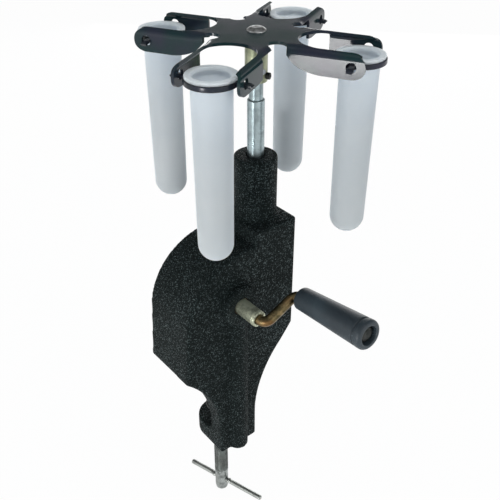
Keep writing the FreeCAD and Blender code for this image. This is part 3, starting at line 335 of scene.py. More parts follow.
def hammered_steel():
    """The riveted end of the spindle: grey steel with small bright dents."""
    f = Finish("hammered_steel", Metallic=1.0)
    bright = shade(0.42, 0.43, 0.43)
    dull = shade(0.22, 0.22, 0.21)
    dents = f.cells(f.here(), scale=620.0, smoothness=0.6)
    clouds = f.noise(f.here(), scale=400.0, detail=3.0)
    colour = f.mix(f.step(clouds, 0.4, 0.65), bright, dull)
    return f.close(colour, 0.28 + clouds * 0.2, dents, depth=0.0002, strength=0.8)


PAINT = crackle_paint()
SHEET = gloss_black("gloss_black_sheet", shade(0.008, 0.027, 0.027), gloss=0.14)
RING = gloss_black("gloss_black_ring", shade(0.012, 0.018, 0.019), gloss=0.22)
SPINDLE_STEEL = turned_metal("turned_steel", shade(0.36, 0.44, 0.46), shade(0.24, 0.29, 0.30))
BRASS = turned_metal("brass", shade(0.34, 0.36, 0.25), shade(0.22, 0.24, 0.16),
                     lines=2200.0, shine=0.24)
BRONZE = turned_metal("bronze", shade(0.20, 0.14, 0.08), shade(0.11, 0.08, 0.05),
                      along="Y", lines=2000.0, shine=0.34)
WHEEL_BRONZE = turned_metal("wheel_bronze", shade(0.56, 0.38, 0.18), shade(0.40, 0.27, 0.14),
                            along="Y", lines=1500.0, shine=0.28)
BEARING = turned_metal("bearing_steel", shade(0.55, 0.56, 0.57), shade(0.40, 0.41, 0.42),
                       lines=3000.0, shine=0.14)
SHAFT = turned_metal("yellow_zinc_shaft", shade(0.62, 0.65, 0.49), shade(0.30, 0.32, 0.24),
                     along="Y", lines=2400.0, shine=0.26, spots=0.5, metal=0.8)
BAR_STEEL = turned_metal("bar_steel", shade(0.40, 0.42, 0.40), shade(0.24, 0.25, 0.24),
                         lines=1500.0)
ROD = plated("yellow_zinc_rod", shade(0.225, 0.17, 0.085), shade(0.085, 0.072, 0.036),
             shade(0.17, 0.085, 0.032), shine=0.24)
ZINC = plated("zinc_steel", shade(0.40, 0.43, 0.42), shade(0.17, 0.185, 0.18),
              shade(0.25, 0.265, 0.25), shine=0.22)
ZINC_SCREW = plated("zinc_screw", shade(0.50, 0.51, 0.51), shade(0.30, 0.31, 0.32),
                    shade(0.36, 0.34, 0.29), shine=0.24)
OXIDE = plated("black_oxide", shade(0.055, 0.06, 0.058), shade(0.022, 0.025, 0.024),
               shade(0.045, 0.038, 0.03), shine=0.34, pitted=0.6)
GRIP = black_grip()
PLASTIC = frosted_plastic()
GASKET = gasket_paper()
HAMMERED = hammered_steel()


# Shapes: grids of points, in millimetres

def unit(vectors):
    """Each vector over its own length."""
    return vectors / np.linalg.norm(vectors, axis=-1, keepdims=True)


def smooth_rise(value, low, high):
    """0 below low, 1 above high, and 3 t^2 - 2 t^3 between."""
    t = np.clip((value - low) / (high - low), 0, 1)
    return t * t * (3 - 2 * t)


def rounded(corners, steps=7, loop=False):
    """Corners (across, up, fillet) as a smooth line: an arc that touches both runs cuts each."""
    corners = [tuple(corner) + (0.0,) * (3 - len(corner)) for corner in corners]
    count = len(corners)
    line = []
    for index, (across, up, fillet) in enumerate(corners):
        here = np.array([across, up], float)
        inner = loop or 0 < index < count - 1
        if not inner or not fillet:
            line.append(here[None])
            continue
        into = unit(np.array(corners[index - 1][:2], float) - here)
        away = unit(np.array(corners[(index + 1) % count][:2], float) - here)
        half = math.acos(float(np.clip(into @ away, -1, 1))) / 2
        centre = here + unit(into + away) * fillet / math.sin(half)
        start = here + into * fillet / math.tan(half) - centre
        end = here + away * fillet / math.tan(half) - centre
        first = math.atan2(start[1], start[0])
        sweep = (math.atan2(end[1], end[0]) - first + math.pi) % (2 * math.pi) - math.pi
        angles = first + np.linspace(0, sweep, steps)
        line.append(centre + fillet * np.stack([np.cos(angles), np.sin(angles)], -1))
    return np.concatenate(line)


def arc(across, up, radius, first, last, steps=24):
    """Points at (across + r cos a, up + r sin a) for angles from first to last, in degrees."""
    angles = np.radians(np.linspace(first, last, steps))
    return np.stack([across + radius * np.cos(angles), up + radius * np.sin(angles)], -1)


def dense(line, step):
    """The same line with more points, evenly spread along each run."""
    runs = []
    for start, end in zip(line, line[1:]):
        count = max(1, int(np.linalg.norm(end - start) / step))
        runs.append(start + (end - start) * np.linspace(0, 1, count, endpoint=False)[:, None])
    return np.concatenate(runs + [line[-1:]])


def turned(profile, change=None, sides=ROUND_SIDES):
    """A line of (radius, height) turned about Z: x = r cos a, y = r sin a, z = height.

    change(angle, radius, height) gives the radius and height where the piece is not quite round.
    """
    angle = np.linspace(0, 2 * np.pi, sides, endpoint=False)[None, :]
    radius = np.repeat(profile[:, :1], sides, 1)
    height = np.repeat(profile[:, 1:2], sides, 1)
    if change:
        radius, height = change(angle, radius, height)
    return np.stack([radius * np.cos(angle), radius * np.sin(angle), height], -1)


def skin(grid, loop_rows=False, loop_columns=True):
    """A grid of points as (points, faces); a loop joins the last row or column to the first."""
    rows, columns = grid.shape[:2]
    row = np.arange(rows if loop_rows else rows - 1)[:, None]
    column = np.arange(columns if loop_columns else columns - 1)[None, :]
    below, beside = (row + 1) % rows, (column + 1) % columns
    faces = np.stack([row * columns + column, row * columns + beside,
                      below * columns + beside, below * columns + column], -1)
    return grid.reshape(-1, 3), faces.reshape(-1, 4)


def laid(part, at, axis=(0, 0, 1), side=None):
    """Moves a skin so that its Z lies along axis and its X as near to side as can be."""
    points, faces = part
    up = unit(np.array(axis, float))
    if side is None:
        side = (1, 0, 0) if abs(up[0]) < 0.9 else (0, 1, 0)
    along = np.array(side, float)
    along = unit(along - up * (along @ up))
    turn = np.stack([along, np.cross(up, along), up])
    return points @ turn + np.array(at, float), faces


def carried(path, outline, hint):
    """An outline (u, v) carried along a path: point + u (hint x tangent) + v (the third way).

    The first and last outline shrink to the path's ends, which closes the piece.
    """
    tangent = unit(np.gradient(path, axis=0))
    across = unit(np.cross(np.array(hint, float), tangent))
    over = np.cross(tangent, across)
    size = np.concatenate([[0.0], np.ones(len(path)), [0.0]])
    path, across, over = (np.concatenate([a[:1], a, a[-1:]]) for a in (path, across, over))
    u, v = outline[:, 0], outline[:, 1]
    spread = across[:, None] * u[None, :, None] + over[:, None] * v[None, :, None]
    return skin(path[:, None] + spread * size[:, None, None])


def bent(points, radius, run, steps=14):
    """Straight runs joined by arcs of one radius that touch both runs, in three dimensions."""
    points = [np.array(p, float) for p in points]
    path = [points[0][None]]
    for before, elbow, after in zip(points, points[1:], points[2:]):
        into, out = unit(elbow - before), unit(after - elbow)
        bend = math.acos(float(np.clip(into @ out, -1, 1)))
        back = radius * math.tan(bend / 2)
        centre = elbow + unit(out - into) * radius / math.cos(bend / 2)
        start = elbow - into * back - centre
        angles = np.linspace(0, bend, steps)[:, None]
        path.append(centre + start * np.cos(angles) + into * radius * np.sin(angles))
    path.append(points[-1][None])
    return dense(np.concatenate(path), run)


def put_down(name, parts, finish, body, nodes=(), crease=CREASE):
    """Makes one piece of several skins: merged poles, outward faces and smooth shading."""
    points, faces, start = [], [], 0
    for part_points, part_faces in parts:
        points.append(part_points)
        faces.append(part_faces + start)
        start += len(part_points)
    mesh = bpy.data.meshes.new(name)
    mesh.from_pydata(np.concatenate(points) * MM, [], np.concatenate(faces))
    work = bmesh.new()
    work.from_mesh(mesh)
    bmesh.ops.remove_doubles(work, verts=work.verts, dist=POLE_WELD)
    bmesh.ops.recalc_face_normals(work, faces=work.faces)
    work.to_mesh(mesh)
    work.free()
    shade_smooth(mesh, crease)
    hang(name, mesh, finish, body, nodes)


def shade_smooth(mesh, crease):
    """Smooth shading, but sharp where faces meet at more than the crease, in degrees."""
    mesh.shade_smooth()
    mesh.set_sharp_from_angle(angle=math.radians(crease))


def hang(name, mesh, finish, body, nodes):
    """Links a mesh as a piece that rides its body and stands for its nodes."""
    mesh.materials.clear()
    mesh.materials.append(finish)
    piece = bpy.data.objects.new(name, mesh)
    bpy.context.scene.collection.objects.link(piece)
    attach(piece, body)
    if nodes:
        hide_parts(*nodes)


def solid_copy(node):
    """A copy of a node's mesh with its loose triangles joined."""
    work = bmesh.new()
    work.from_mesh(frame["nodes"][node].data)
    bmesh.ops.remove_doubles(work, verts=work.verts, dist=WELD)
    mesh = bpy.data.meshes.new(node + "_copy")
    work.to_mesh(mesh)
    work.free()
    return mesh


def with_modifiers(mesh, *steps):
    """The mesh after a list of modifiers, each (kind, settings), as a new mesh."""
    carrier = bpy.data.objects.new("carrier", mesh)
    bpy.context.scene.collection.objects.link(carrier)
    for kind, settings in steps:
        modifier = carrier.modifiers.new(kind, kind)
        for setting, value in settings.items():
            setattr(modifier, setting, value)
    ready = carrier.evaluated_get(bpy.context.evaluated_depsgraph_get())
    made = bpy.data.meshes.new_from_object(ready)
    bpy.data.objects.remove(carrier)
    return made


# Places that the solids and joints give, in millimetres

def middle(node):
    low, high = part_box(node)
    return np.array((low + high) / 2) / MM


def corner(node, which):
    return np.array(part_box(node)[which]) / MM


def joint_place(name):
    return np.array(joints[name]["pos_m"]) / MM


SPINDLE_X, SPINDLE_Y = middle("spindle")[:2]
SPINDLE_FOOT = corner("spindle", 0)[2]
ROTOR_TOP = corner("rotor_plate", 1)[2]
CRANK_X, CRANK_Z = middle("crank_shaft")[[0, 2]]
SHAFT_END = corner("crank_shaft", 0)[1]
GRIP_AT = joint_place("grip_spin")
GRIP_WAY = unit(np.array(joints["grip_spin"]["axis"], float))


# Casting: the size of its even skin and the rounds of smoothing set how soft its edges are

def make_casting():
    """Copies of the two cast solids: an even skin of small faces, each then smoothed."""
    for name, node, grain, rounds in (("cast_housing", "housing", 0.85, 4),
                                      ("cast_cover", "back_cover", 0.8, 2)):
        mesh = with_modifiers(
            solid_copy(node),
            ("REMESH", {"mode": "VOXEL", "voxel_size": grain * MM, "use_smooth_shade": True}),
            ("SMOOTH", {"factor": 0.5, "iterations": rounds}))
        shade_smooth(mesh, NO_CREASE)
        hang(name, mesh, PAINT, "frame", [node])


# Rotor: half the width of an arm, the fold's radius in the solid and as pressed, the run along
# the arm over which it opens, and the foot of the ear, drawn up below its pivot hole

ARM_HALF = 17.8
SOLID_FOLD = 2.4
FOLD = 4.5
FOLD_STARTS, FOLD_FULL = 20.0, 29.0
EAR_HOLE_FOOT = -10.1
FOOT_DRAWN_UP = 0.72
CUTS_ALONG = (20.0, 22.0, 24.0, 26.0, 28.0, 29.5)
CUTS_ASIDE = (ARM_HALF - FOLD - 0.3, ARM_HALF - FOLD, 14.0, 14.7)
CUTS_DOWN = (3.1, 3.8, FOLD, FOLD + 0.3)
CUT_EDGE = 0.18
FLAT_ANGLE, EDGE_ANGLE = 0.5, 40


def open_fold(out, side, z):
    """Opens the fold of an ear from the solid's small radius to the pressed one.

    A point is read by its run along the sheet, s, and its depth in the sheet, t: the flat up to
    the small arc, the arc about its centre, then the ear. On the wide arc it stands at the
    angle pi / 2 * s / length and the radius FOLD - t. The ear's foot is drawn up a little, with
    the pivot hole left where it is.
    """
    start, arc_start = ARM_HALF - FOLD, ARM_HALF - SOLID_FOLD
    flat_run = FOLD - SOLID_FOLD
    arc_run = SOLID_FOLD * np.pi / 2
    length = 2 * flat_run + arc_run
    across, up = side - arc_start, z + SOLID_FOLD
    phi = np.clip(np.arctan2(across, up), 0, np.pi / 2)
    on_flat = side <= arc_start
    on_ear = (~on_flat) & (up < 0)
    s = np.where(on_flat, side - start, flat_run + SOLID_FOLD * phi)
    s = np.where(on_ear, flat_run + arc_run - up, s)
    t = np.where(on_flat, -z, SOLID_FOLD - np.hypot(across, up))
    t = np.where(on_ear, ARM_HALF - side, t)
    theta = np.pi / 2 * s / length
    reach = FOLD - t
    moved_side, moved_z = start + reach * np.sin(theta), reach * np.cos(theta) - FOLD
    inside = (side > start) & (z > -FOLD)
    share = inside * smooth_rise(out, FOLD_STARTS, FOLD_FULL)
    new_side = side + (moved_side - side) * share
    new_z = z + (moved_z - z) * share
    below = EAR_HOLE_FOOT
    new_z = np.where(z < below, below + (z - below) * FOOT_DRAWN_UP, new_z)
    return new_side, new_z


def arm_ways():
    """The ways (out, side, up) of the four arms, the first along the first bucket's arm."""
    swing_at = joint_place("bucket_1_swing")
    first = math.atan2(swing_at[1] - SPINDLE_Y, swing_at[0] - SPINDLE_X)
    ways = []
    for quarter in range(4):
        angle = first + quarter * math.pi / 2
        ways.append(np.array([[math.cos(angle), math.sin(angle), 0],
                              [-math.sin(angle), math.cos(angle), 0], [0, 0, 1]]))
    return ways


def cut_across(work, centre, ways):
    """Cuts edge lines across the arms, where the folds are to bend."""
    planes = [(way[0], distance) for way in ways for distance in CUTS_ALONG]
    planes += [(way[1], sign * distance) for way in ways[:2] for distance in CUTS_ASIDE
               for sign in (1, -1)]
    planes += [(ways[0][2], -drop) for drop in CUTS_DOWN]
    for way, distance in planes:
        geometry = list(work.verts) + list(work.edges) + list(work.faces)
        at = (centre + way * distance) * MM
        bmesh.ops.bisect_plane(work, geom=geometry, dist=CUT_SNAP, plane_co=at, plane_no=way)


def make_rotor():
    """The pressed cross: a copy of the solid, its folds opened and its cut edges rounded.

    A point belongs to the arm along which it lies farthest out. It is read in that arm's ways,
    moved by open_fold with its side taken as positive, and put back.
    """
    mesh = solid_copy("rotor_plate")
    centre = np.array([SPINDLE_X, SPINDLE_Y, ROTOR_TOP])
    ways = arm_ways()
    work = bmesh.new()
    work.from_mesh(mesh)
    cut_across(work, centre, ways)
    work.to_mesh(mesh)

    points = np.empty(len(mesh.vertices) * 3)
    mesh.vertices.foreach_get("co", points)
    points = points.reshape(-1, 3) / MM - centre
    arm_of = np.argmax(np.stack([points @ way[0] for way in ways], -1), -1)
    for index, way in enumerate(ways):
        mine = arm_of == index
        out, side, z = (points[mine] @ axis for axis in way)
        new_side, new_z = open_fold(out, np.abs(side), z)
        new_side = np.sign(side) * new_side
        points[mine] = (out[:, None] * way[0] + new_side[:, None] * way[1]
                        + new_z[:, None] * way[2])
    mesh.vertices.foreach_set("co", ((points + centre) * MM).ravel())

    work.clear()
    work.from_mesh(mesh)
    bmesh.ops.remove_doubles(work, verts=work.verts, dist=FOLD_WELD)
    bmesh.ops.dissolve_limit(work, angle_limit=math.radians(FLAT_ANGLE), verts=work.verts,
                             edges=work.edges)
    work.to_mesh(mesh)
    work.free()
    mesh = with_modifiers(mesh, ("BEVEL", {"width": CUT_EDGE * MM, "segments": 2,
                                           "limit_method": "ANGLE",
                                           "angle_limit": math.radians(EDGE_ANGLE)}))
    shade_smooth(mesh, CREASE)
    mesh = with_modifiers(mesh, ("WEIGHTED_NORMAL", {"keep_sharp": True, "weight": 60}))
    hang("rotor_sheet", mesh, SHEET, "rotor", ["rotor_plate"])


# Cover screws: places (x, z) and turns of their recesses in degrees, head and shank

SCREWS = ((-27.6, 13.0, 20), (36.0, 13.0, 65), (36.0, 71.0, -10), (-21.31, 56.76, 40),
          (2.36, 71.26, 80))
HEAD_R, HEAD_HIGH = 3.5, 2.4
RECESS_R, RECESS_HALF, RECESS_DEEP = 2.0, 0.52, 1.25
SHANK_R, SHANK_LONG, SHANK_SIDES = 2.0, 9.0, 24


def pan_head():
    """A pan head with a cross recess.

    The top sinks where |x| or |y| is under the arm's half width and r is under the recess's
    radius; each border is a steep 1 / (1 + e^u) of the distance past it.
    """
    top = rounded([(0, HEAD_HIGH), (HEAD_R * 0.55, HEAD_HIGH), (HEAD_R, HEAD_HIGH * 0.72, 1.0),
                   (HEAD_R, 0)])
    line = np.concatenate([dense(top, 0.12), [[0.0, 0.0]]])

    def sink(angle, r, z):
        x, y = r * np.cos(angle), r * np.sin(angle)
        arm = RECESS_HALF * (1 - r / (HEAD_R * 1.6))
        near = np.minimum(np.abs(x), np.abs(y))
        cross = 1 / (1 + np.exp((near - arm) / 0.06)) / (1 + np.exp((r - RECESS_R) / 0.08))
        on_top = z > HEAD_HIGH * 0.5
        return r, z - RECESS_DEEP * cross * on_top * (1 - 0.35 * r / HEAD_R)

    return skin(turned(line, sink, 72))


def make_cover_screws():
    """Five pan heads on the back cover, each turned its own way, with short shanks."""
    rear = corner("cover_screws", 1)[1] - HEAD_HIGH
    tip_r = SHANK_R - 0.4
    line = np.array([(0, -SHANK_LONG), (tip_r, -SHANK_LONG), (SHANK_R, -SHANK_LONG + 0.6),
                     (SHANK_R, 0.5), (0, 0.5)])
    parts = []
    for x, z, turn in SCREWS:
        side = (math.cos(math.radians(turn)), 0, math.sin(math.radians(turn)))
        parts.append(laid(pan_head(), (x, rear, z), (0, 1, 0), side))
    for x, z, _ in SCREWS:
        shank = skin(turned(line, sides=SHANK_SIDES))
        parts.append(laid(shank, (x, rear, z), (0, 1, 0)))
    put_down("pan_head_screws", parts, ZINC_SCREW, "frame", ["cover_screws"])


# Spindle, hub and the screw that holds the hub: radii and heights

TOE_R, SPINDLE_R, SPINDLE_TOP_R = 3.0, 5.0, 4.0
TOE_TOP, SPINDLE_STEP = 58.0, 163.0
RIVET_R, RIVET_HIGH = 5.3, 2.0
HUB_BORE_R, HUB_R, HUB_GROOVE_R = 4.05, 6.3, 5.9
SET_SCREW_R, SET_SCREW_BORE_R, SET_SCREW_Z = 1.9, 0.9, 177.0
SET_SCREW_FROM, SET_SCREW_TO, SET_SCREW_FLOOR = 5.0, 8.3, 7.4


def make_spindle():
    """The spindle as turned, and its riveted head as hammered.

    The head's radius and height waver with sin(3a + 0.7) + sin(5a + 1.9r) + sin(2a - 2.7r).
    """
    foot, top = SPINDLE_FOOT, ROTOR_TOP - 0.2
    line = rounded([(0, foot), (TOE_R, foot, 0.5), (TOE_R, TOE_TOP), (SPINDLE_R, TOE_TOP, 0.3),
                    (SPINDLE_R, SPINDLE_STEP, 0.7), (SPINDLE_TOP_R, SPINDLE_STEP),
                    (SPINDLE_TOP_R, top), (0, top)])
    put_down("turned_spindle", [laid(skin(turned(line)), (SPINDLE_X, SPINDLE_Y, 0))],
             SPINDLE_STEEL, "rotor", ["spindle"])
    head = rounded([(0, RIVET_HIGH), (3.4, 1.95, 2.5), (5.2, 0.75, 0.7), (RIVET_R, 0.0),
                    (0, 0.0)])

    def dented(angle, r, z):
        blows = np.sin(3 * angle + 0.7) + np.sin(5 * angle + r * 1.9)
        blows = blows + np.sin(2 * angle - r * 2.7)
        sunk = 0.09 * (z > 0.4) * (r / RIVET_R) * (blows + 3) / 2
        return r * (1 + 0.012 * blows), z - sunk

    head = laid(skin(turned(dense(head, 0.35), dented)), (SPINDLE_X, SPINDLE_Y, ROTOR_TOP))
    put_down("riveted_head", [head], HAMMERED, "rotor")


def make_hub():
    """A collar of brass with a groove turned near its top."""
    low, high = corner("rotor_hub", 0)[2], corner("rotor_hub", 1)[2]
    line = rounded([(HUB_BORE_R, low), (HUB_R, low, 0.6), (HUB_R, high - 3.2),
                    (HUB_GROOVE_R, high - 2.9, 0.2), (HUB_GROOVE_R, high - 2.2, 0.2),
                    (HUB_R, high - 1.9), (HUB_R, high, 0.2), (HUB_BORE_R, high)], loop=True)
    put_down("brass_hub", [laid(skin(turned(line), True), (SPINDLE_X, SPINDLE_Y, 0))],
             BRASS, "rotor", ["rotor_hub"])


def make_set_screw():
    """The small dark screw that holds the hub, towards the second bucket."""
    swing_at = joint_place("bucket_2_swing")
    way = unit(np.array([swing_at[0] - SPINDLE_X, swing_at[1] - SPINDLE_Y, 0.0]))
    line = rounded([(0, SET_SCREW_FROM), (SET_SCREW_R, SET_SCREW_FROM),
                    (SET_SCREW_R, SET_SCREW_TO, 0.4), (SET_SCREW_BORE_R, SET_SCREW_TO, 0.1),
                    (SET_SCREW_BORE_R, SET_SCREW_FLOOR), (0, SET_SCREW_FLOOR)])
    part = laid(skin(turned(line, sides=32)), (SPINDLE_X, SPINDLE_Y, SET_SCREW_Z), way)
    put_down("hub_set_screw", [part], OXIDE, "rotor")


# Buckets: ring, its two tongues, and the sleeve, from the hinge's place

RING_BORE_R, RING_R, RING_HALF = 10.8, 13.8, 1.4
TONGUE_FROM, TONGUE_TO, TONGUE_HALF_WIDE, TONGUE_HALF = 12.2, 21.0, 1.65, 0.95
SLEEVE_END, SLEEVE_TIP_R, SLEEVE_R = -101.4, 9.8, 10.5
SLEEVE_FLOOR, SLEEVE_FLOOR_R, SLEEVE_BORE_R, SLEEVE_BORE_STEP = -100.0, 8.6, 9.2, -17.9
FLANGE_R, FLANGE_LOW, FLANGE_TOP = 13.2, 1.4, 3.1


def tongue_skin(side):
    """A flat tongue from the ring out through the ear, with its end turned down a little."""
    along = np.array([TONGUE_FROM, 16.0, 18.6, 19.8, 20.5, TONGUE_TO])
    drop = np.array([0.0, 0.0, 0.0, -0.10, -0.35, -0.75])
    path = dense(np.stack([np.zeros(6), along * side, drop], -1), 0.3)
    wide, thick, edge = TONGUE_HALF_WIDE, TONGUE_HALF, 0.45
    outline = rounded([(-wide, -thick, edge), (wide, -thick, edge), (wide, thick, edge),
                       (-wide, thick, edge)], 5, True)
    return carried(path, outline, (0, 0, 1))


def sleeve_skin():
    """Outside up from the round end, over the flange and down the bore to its round floor."""
    shoulder = SLEEVE_END + SLEEVE_TIP_R
    outside = arc(0, shoulder, SLEEVE_TIP_R, -90, 0)
    over = rounded([(SLEEVE_TIP_R, shoulder), (SLEEVE_R, FLANGE_LOW, 0.3),
                    (FLANGE_R, FLANGE_LOW, 0.35), (FLANGE_R, FLANGE_TOP, 0.5),
                    (10.3, FLANGE_TOP, 0.4), (SLEEVE_BORE_R, 2.0, 0.4),
                    (SLEEVE_BORE_R, SLEEVE_BORE_STEP),
                    (SLEEVE_FLOOR_R, SLEEVE_FLOOR + SLEEVE_FLOOR_R)])
    inside = arc(0, SLEEVE_FLOOR + SLEEVE_FLOOR_R, SLEEVE_FLOOR_R, 0, -90)
    line = np.concatenate([outside, over[1:-1], inside])
    return skin(turned(dense(line, 4.0)))


def make_buckets():
    """Four rings with their tongues, and the sleeves that hang in them, at the joints' places."""
    ring_line = rounded([(RING_BORE_R, -RING_HALF, 0.35), (RING_R, -RING_HALF, 0.45),
                         (RING_R, RING_HALF, 0.45), (RING_BORE_R, RING_HALF, 0.35)], loop=True)
    for number in range(1, 5):
        at = joint_place(f"bucket_{number}_swing")
        hinge = np.array(joints[f"bucket_{number}_swing"]["axis"], float)
        out = np.cross(hinge, (0, 0, 1)) * -1
        body = f"bucket_{number}"
        ring = [skin(turned(ring_line), True), tongue_skin(1), tongue_skin(-1)]
        ring = [laid(part, at, (0, 0, 1), out) for part in ring]
        put_down(f"bucket_ring_{number}", ring, RING, body, [f"carrier_ring_{number}"])
        put_down(f"tube_sleeve_{number}", [laid(sleeve_skin(), at, (0, 0, 1), out)], PLASTIC,
                 body, [f"sleeve_{number}"])


# Crank: shaft, bent rod, the grip's pin and the moulded grip, measured along its own axis

SHAFT_R, SHAFT_GROOVE_R, SHAFT_RIM_R, SHAFT_HOLLOW_R = 5.0, 4.75, 3.5, 3.2
PEEN_BLOWS = 8
ROD_R, ROD_BEND_R = 3.15, 4.9
PIN_R, PIN_HEAD_R = 2.5, 4.2
GRIP_FOOT, GRIP_LONG, GRIP_BASE_R, GRIP_END_R = 4.95, 54.0, 6.9, 8.9
GRIP_RECESS, GRIP_RECESS_R, GRIP_BORE_R = 4.0, 5.6, 2.55
GRIP_FOOT_BORE_R, GRIP_FOOT_BORE = 3.45, 4.9
GROOVE_FROM_END, GROOVE_DEEP = 6.2, 0.7
WASHER_R, WASHER_BORE_R = 5.2, 2.6


def make_shaft():
    """The crank's shaft, its outer end peened over the arm.

    Each blow is cos(8a)^2 where cos(8a) is positive, and fades with e^-(d / 0.8)^2 of the
    distance d from the end.
    """
    foot = corner("crank_shaft", 1)[1]
    long = foot - SHAFT_END
    line = rounded([(0, 0), (SHAFT_R, 0, 0.6), (SHAFT_R, long - 1.9, 0.2),
                    (SHAFT_GROOVE_R, long - 1.7, 0.2), (SHAFT_R, long - 1.3, 0.2),
                    (SHAFT_R, long, 0.7), (SHAFT_RIM_R, long, 0.3), (SHAFT_HOLLOW_R, long - 0.6),
                    (0, long - 0.6)])

    def peened(angle, r, z):
        near = np.exp(-((z - long + 0.2) / 0.8) ** 2) * (r > 2.5)
        blow = np.clip(np.cos(PEEN_BLOWS * angle), 0, 1) ** 2
        return r - 0.28 * near * blow * (r > 4.2), z - 0.35 * near * blow * (r < 4.9)

    part = laid(skin(turned(dense(line, 0.4), peened)), (CRANK_X, foot, CRANK_Z), (0, -1, 0))
    put_down("peened_shaft", [part], SHAFT, "crank", ["crank_shaft"])


def make_arm():
    """A round rod bent twice, and the grip's pin with its riveted head."""
    stub = (CRANK_X, SHAFT_END + 4.0, CRANK_Z)
    elbow = (CRANK_X, GRIP_AT[1], CRANK_Z)
    shoulder = GRIP_AT + GRIP_WAY * (ROD_BEND_R + 0.6)
    path = bent([stub, elbow, GRIP_AT, shoulder], ROD_BEND_R, run=0.5)
    way = unit(np.array([GRIP_AT[0] - CRANK_X, 0, GRIP_AT[2] - CRANK_Z]))
    outline = arc(0, 0, ROD_R, 0, 360, 41)[:-1]
    rod = carried(path, outline, (-way[2], 0, way[0]))
    top = GRIP_FOOT + GRIP_LONG - GRIP_RECESS + 1.0
    line = rounded([(0, 3.0), (PIN_R, 3.0), (PIN_R, top), (PIN_HEAD_R, top, 0.2),
                    (PIN_HEAD_R, top + 0.9, 0.5), (2.6, top + 1.4, 0.8), (0, top + 1.4)])
    pin = laid(skin(turned(line, sides=64)), GRIP_AT, GRIP_WAY)
    put_down("bent_arm", [rod], ROD, "crank", ["crank_arm"])
    put_down("grip_pin", [pin], OXIDE, "crank")


def make_grip():
    """The moulded grip: a taper with rounded ends, a ring groove and a recess at its end."""
    foot, top = GRIP_FOOT, GRIP_FOOT + GRIP_LONG
    slope = (GRIP_END_R - GRIP_BASE_R) / GRIP_LONG
    groove = top - GROOVE_FROM_END
    at_groove = GRIP_BASE_R + slope * (groove - foot)
    in_groove = at_groove - GROOVE_DEEP
    floor = top - GRIP_RECESS
    bore_end = foot + GRIP_FOOT_BORE
    line = rounded([
        (GRIP_FOOT_BORE_R, foot), (GRIP_BASE_R, foot, 1.8), (at_groove, groove - 0.1, 0.25),
        (in_groove, groove + 0.45, 0.3), (in_groove, groove + 1.0, 0.3),
        (at_groove + 0.12, groove + 1.7, 0.3), (GRIP_END_R, top, 2.2), (GRIP_RECESS_R, top, 0.7),
        (GRIP_RECESS_R, floor, 0.3), (GRIP_BORE_R, floor), (GRIP_BORE_R, bore_end, 0.3),
        (GRIP_FOOT_BORE_R, bore_end, 0.3),
    ], loop=True)
    closed = dense(np.concatenate([line, line[:1]]), 3.0)[:-1]
    part = laid(skin(turned(closed), True), GRIP_AT, GRIP_WAY)
    put_down("moulded_grip", [part], GRIP, "grip", ["handle_grip"])
    washer = rounded([(WASHER_BORE_R, floor + 0.1, 0.1), (WASHER_R, floor + 0.1, 0.2),
                      (WASHER_R, floor + 0.9, 0.2), (WASHER_BORE_R, floor + 0.9, 0.1)],
                     loop=True)
    washer = laid(skin(turned(washer, sides=64), True), GRIP_AT, GRIP_WAY)
    put_down("recessed_washer", [washer], OXIDE, "grip", ["grip_washer"])


# Clamp: the screw's thread and ends, the bar through it, and the pad on top

THREAD_LOW, THREAD_HIGH, PITCH, ROWS_PER_TURN = -124.0, -60.6, 1.5, 12
THREAD_DEEP, THREAD_R, TAIL_R, SCREW_PIN_R = 0.92, 5.0, 4.8, 3.2
SCREW_FOOT, SCREW_PIN_TOP = -144.0, -54.5
BAR_FRONT, BAR_REAR, BAR_R, BAR_END_R, BAR_Z = 35.4, 27.7, 1.8, 1.35, -134.0
BAR_TURN = 17.7
PAD_GROOVE = 0.4


def make_clamp_screw():
    """The screw: a round end, a plain tail, a right-hand thread and the pin for the pad.

    The thread's depth rises from 0 to 1 and falls again with |2 (z / pitch - a / 2 pi) - 1| in
    each turn, flat at crest and root, and fades out over its lowest 2 mm.
    """
    low, high, foot = THREAD_LOW, THREAD_HIGH, SCREW_FOOT
    rows = np.linspace(low, high, int((high - low) / PITCH * ROWS_PER_TURN) + 1)

    def threaded(angle, r, z):
        wave = np.abs(2 * ((z / PITCH - angle / (2 * np.pi)) % 1) - 1)
        groove = np.clip((wave - 0.125) / 0.625, 0, 1)
        inside = (z > low) & (z < high)
        fade = np.clip((z - low) / 2.0, 0, 1)
        body = THREAD_R - THREAD_DEEP * groove * fade - (1 - fade) * (THREAD_R - TAIL_R)
        return np.where(inside, body, r), z

    below = rounded([(0, foot), (2.5, foot, 0.8), (4.5, foot + 1.6, 1.2), (TAIL_R, foot + 4.0),
                     (TAIL_R, low - 0.1)])
    thread = np.stack([np.full(len(rows), THREAD_R), rows], -1)
    above = rounded([(4.2, high + 0.2), (SCREW_PIN_R, high + 1.4, 0.3),
                     (SCREW_PIN_R, SCREW_PIN_TOP, 0.3), (0, SCREW_PIN_TOP)])
    line = np.concatenate([dense(below, 1.5), thread, above])
    put_down("threaded_screw", [skin(turned(line, threaded, 48))], ZINC, "screw",
             ["clamp_screw"], 50.0)


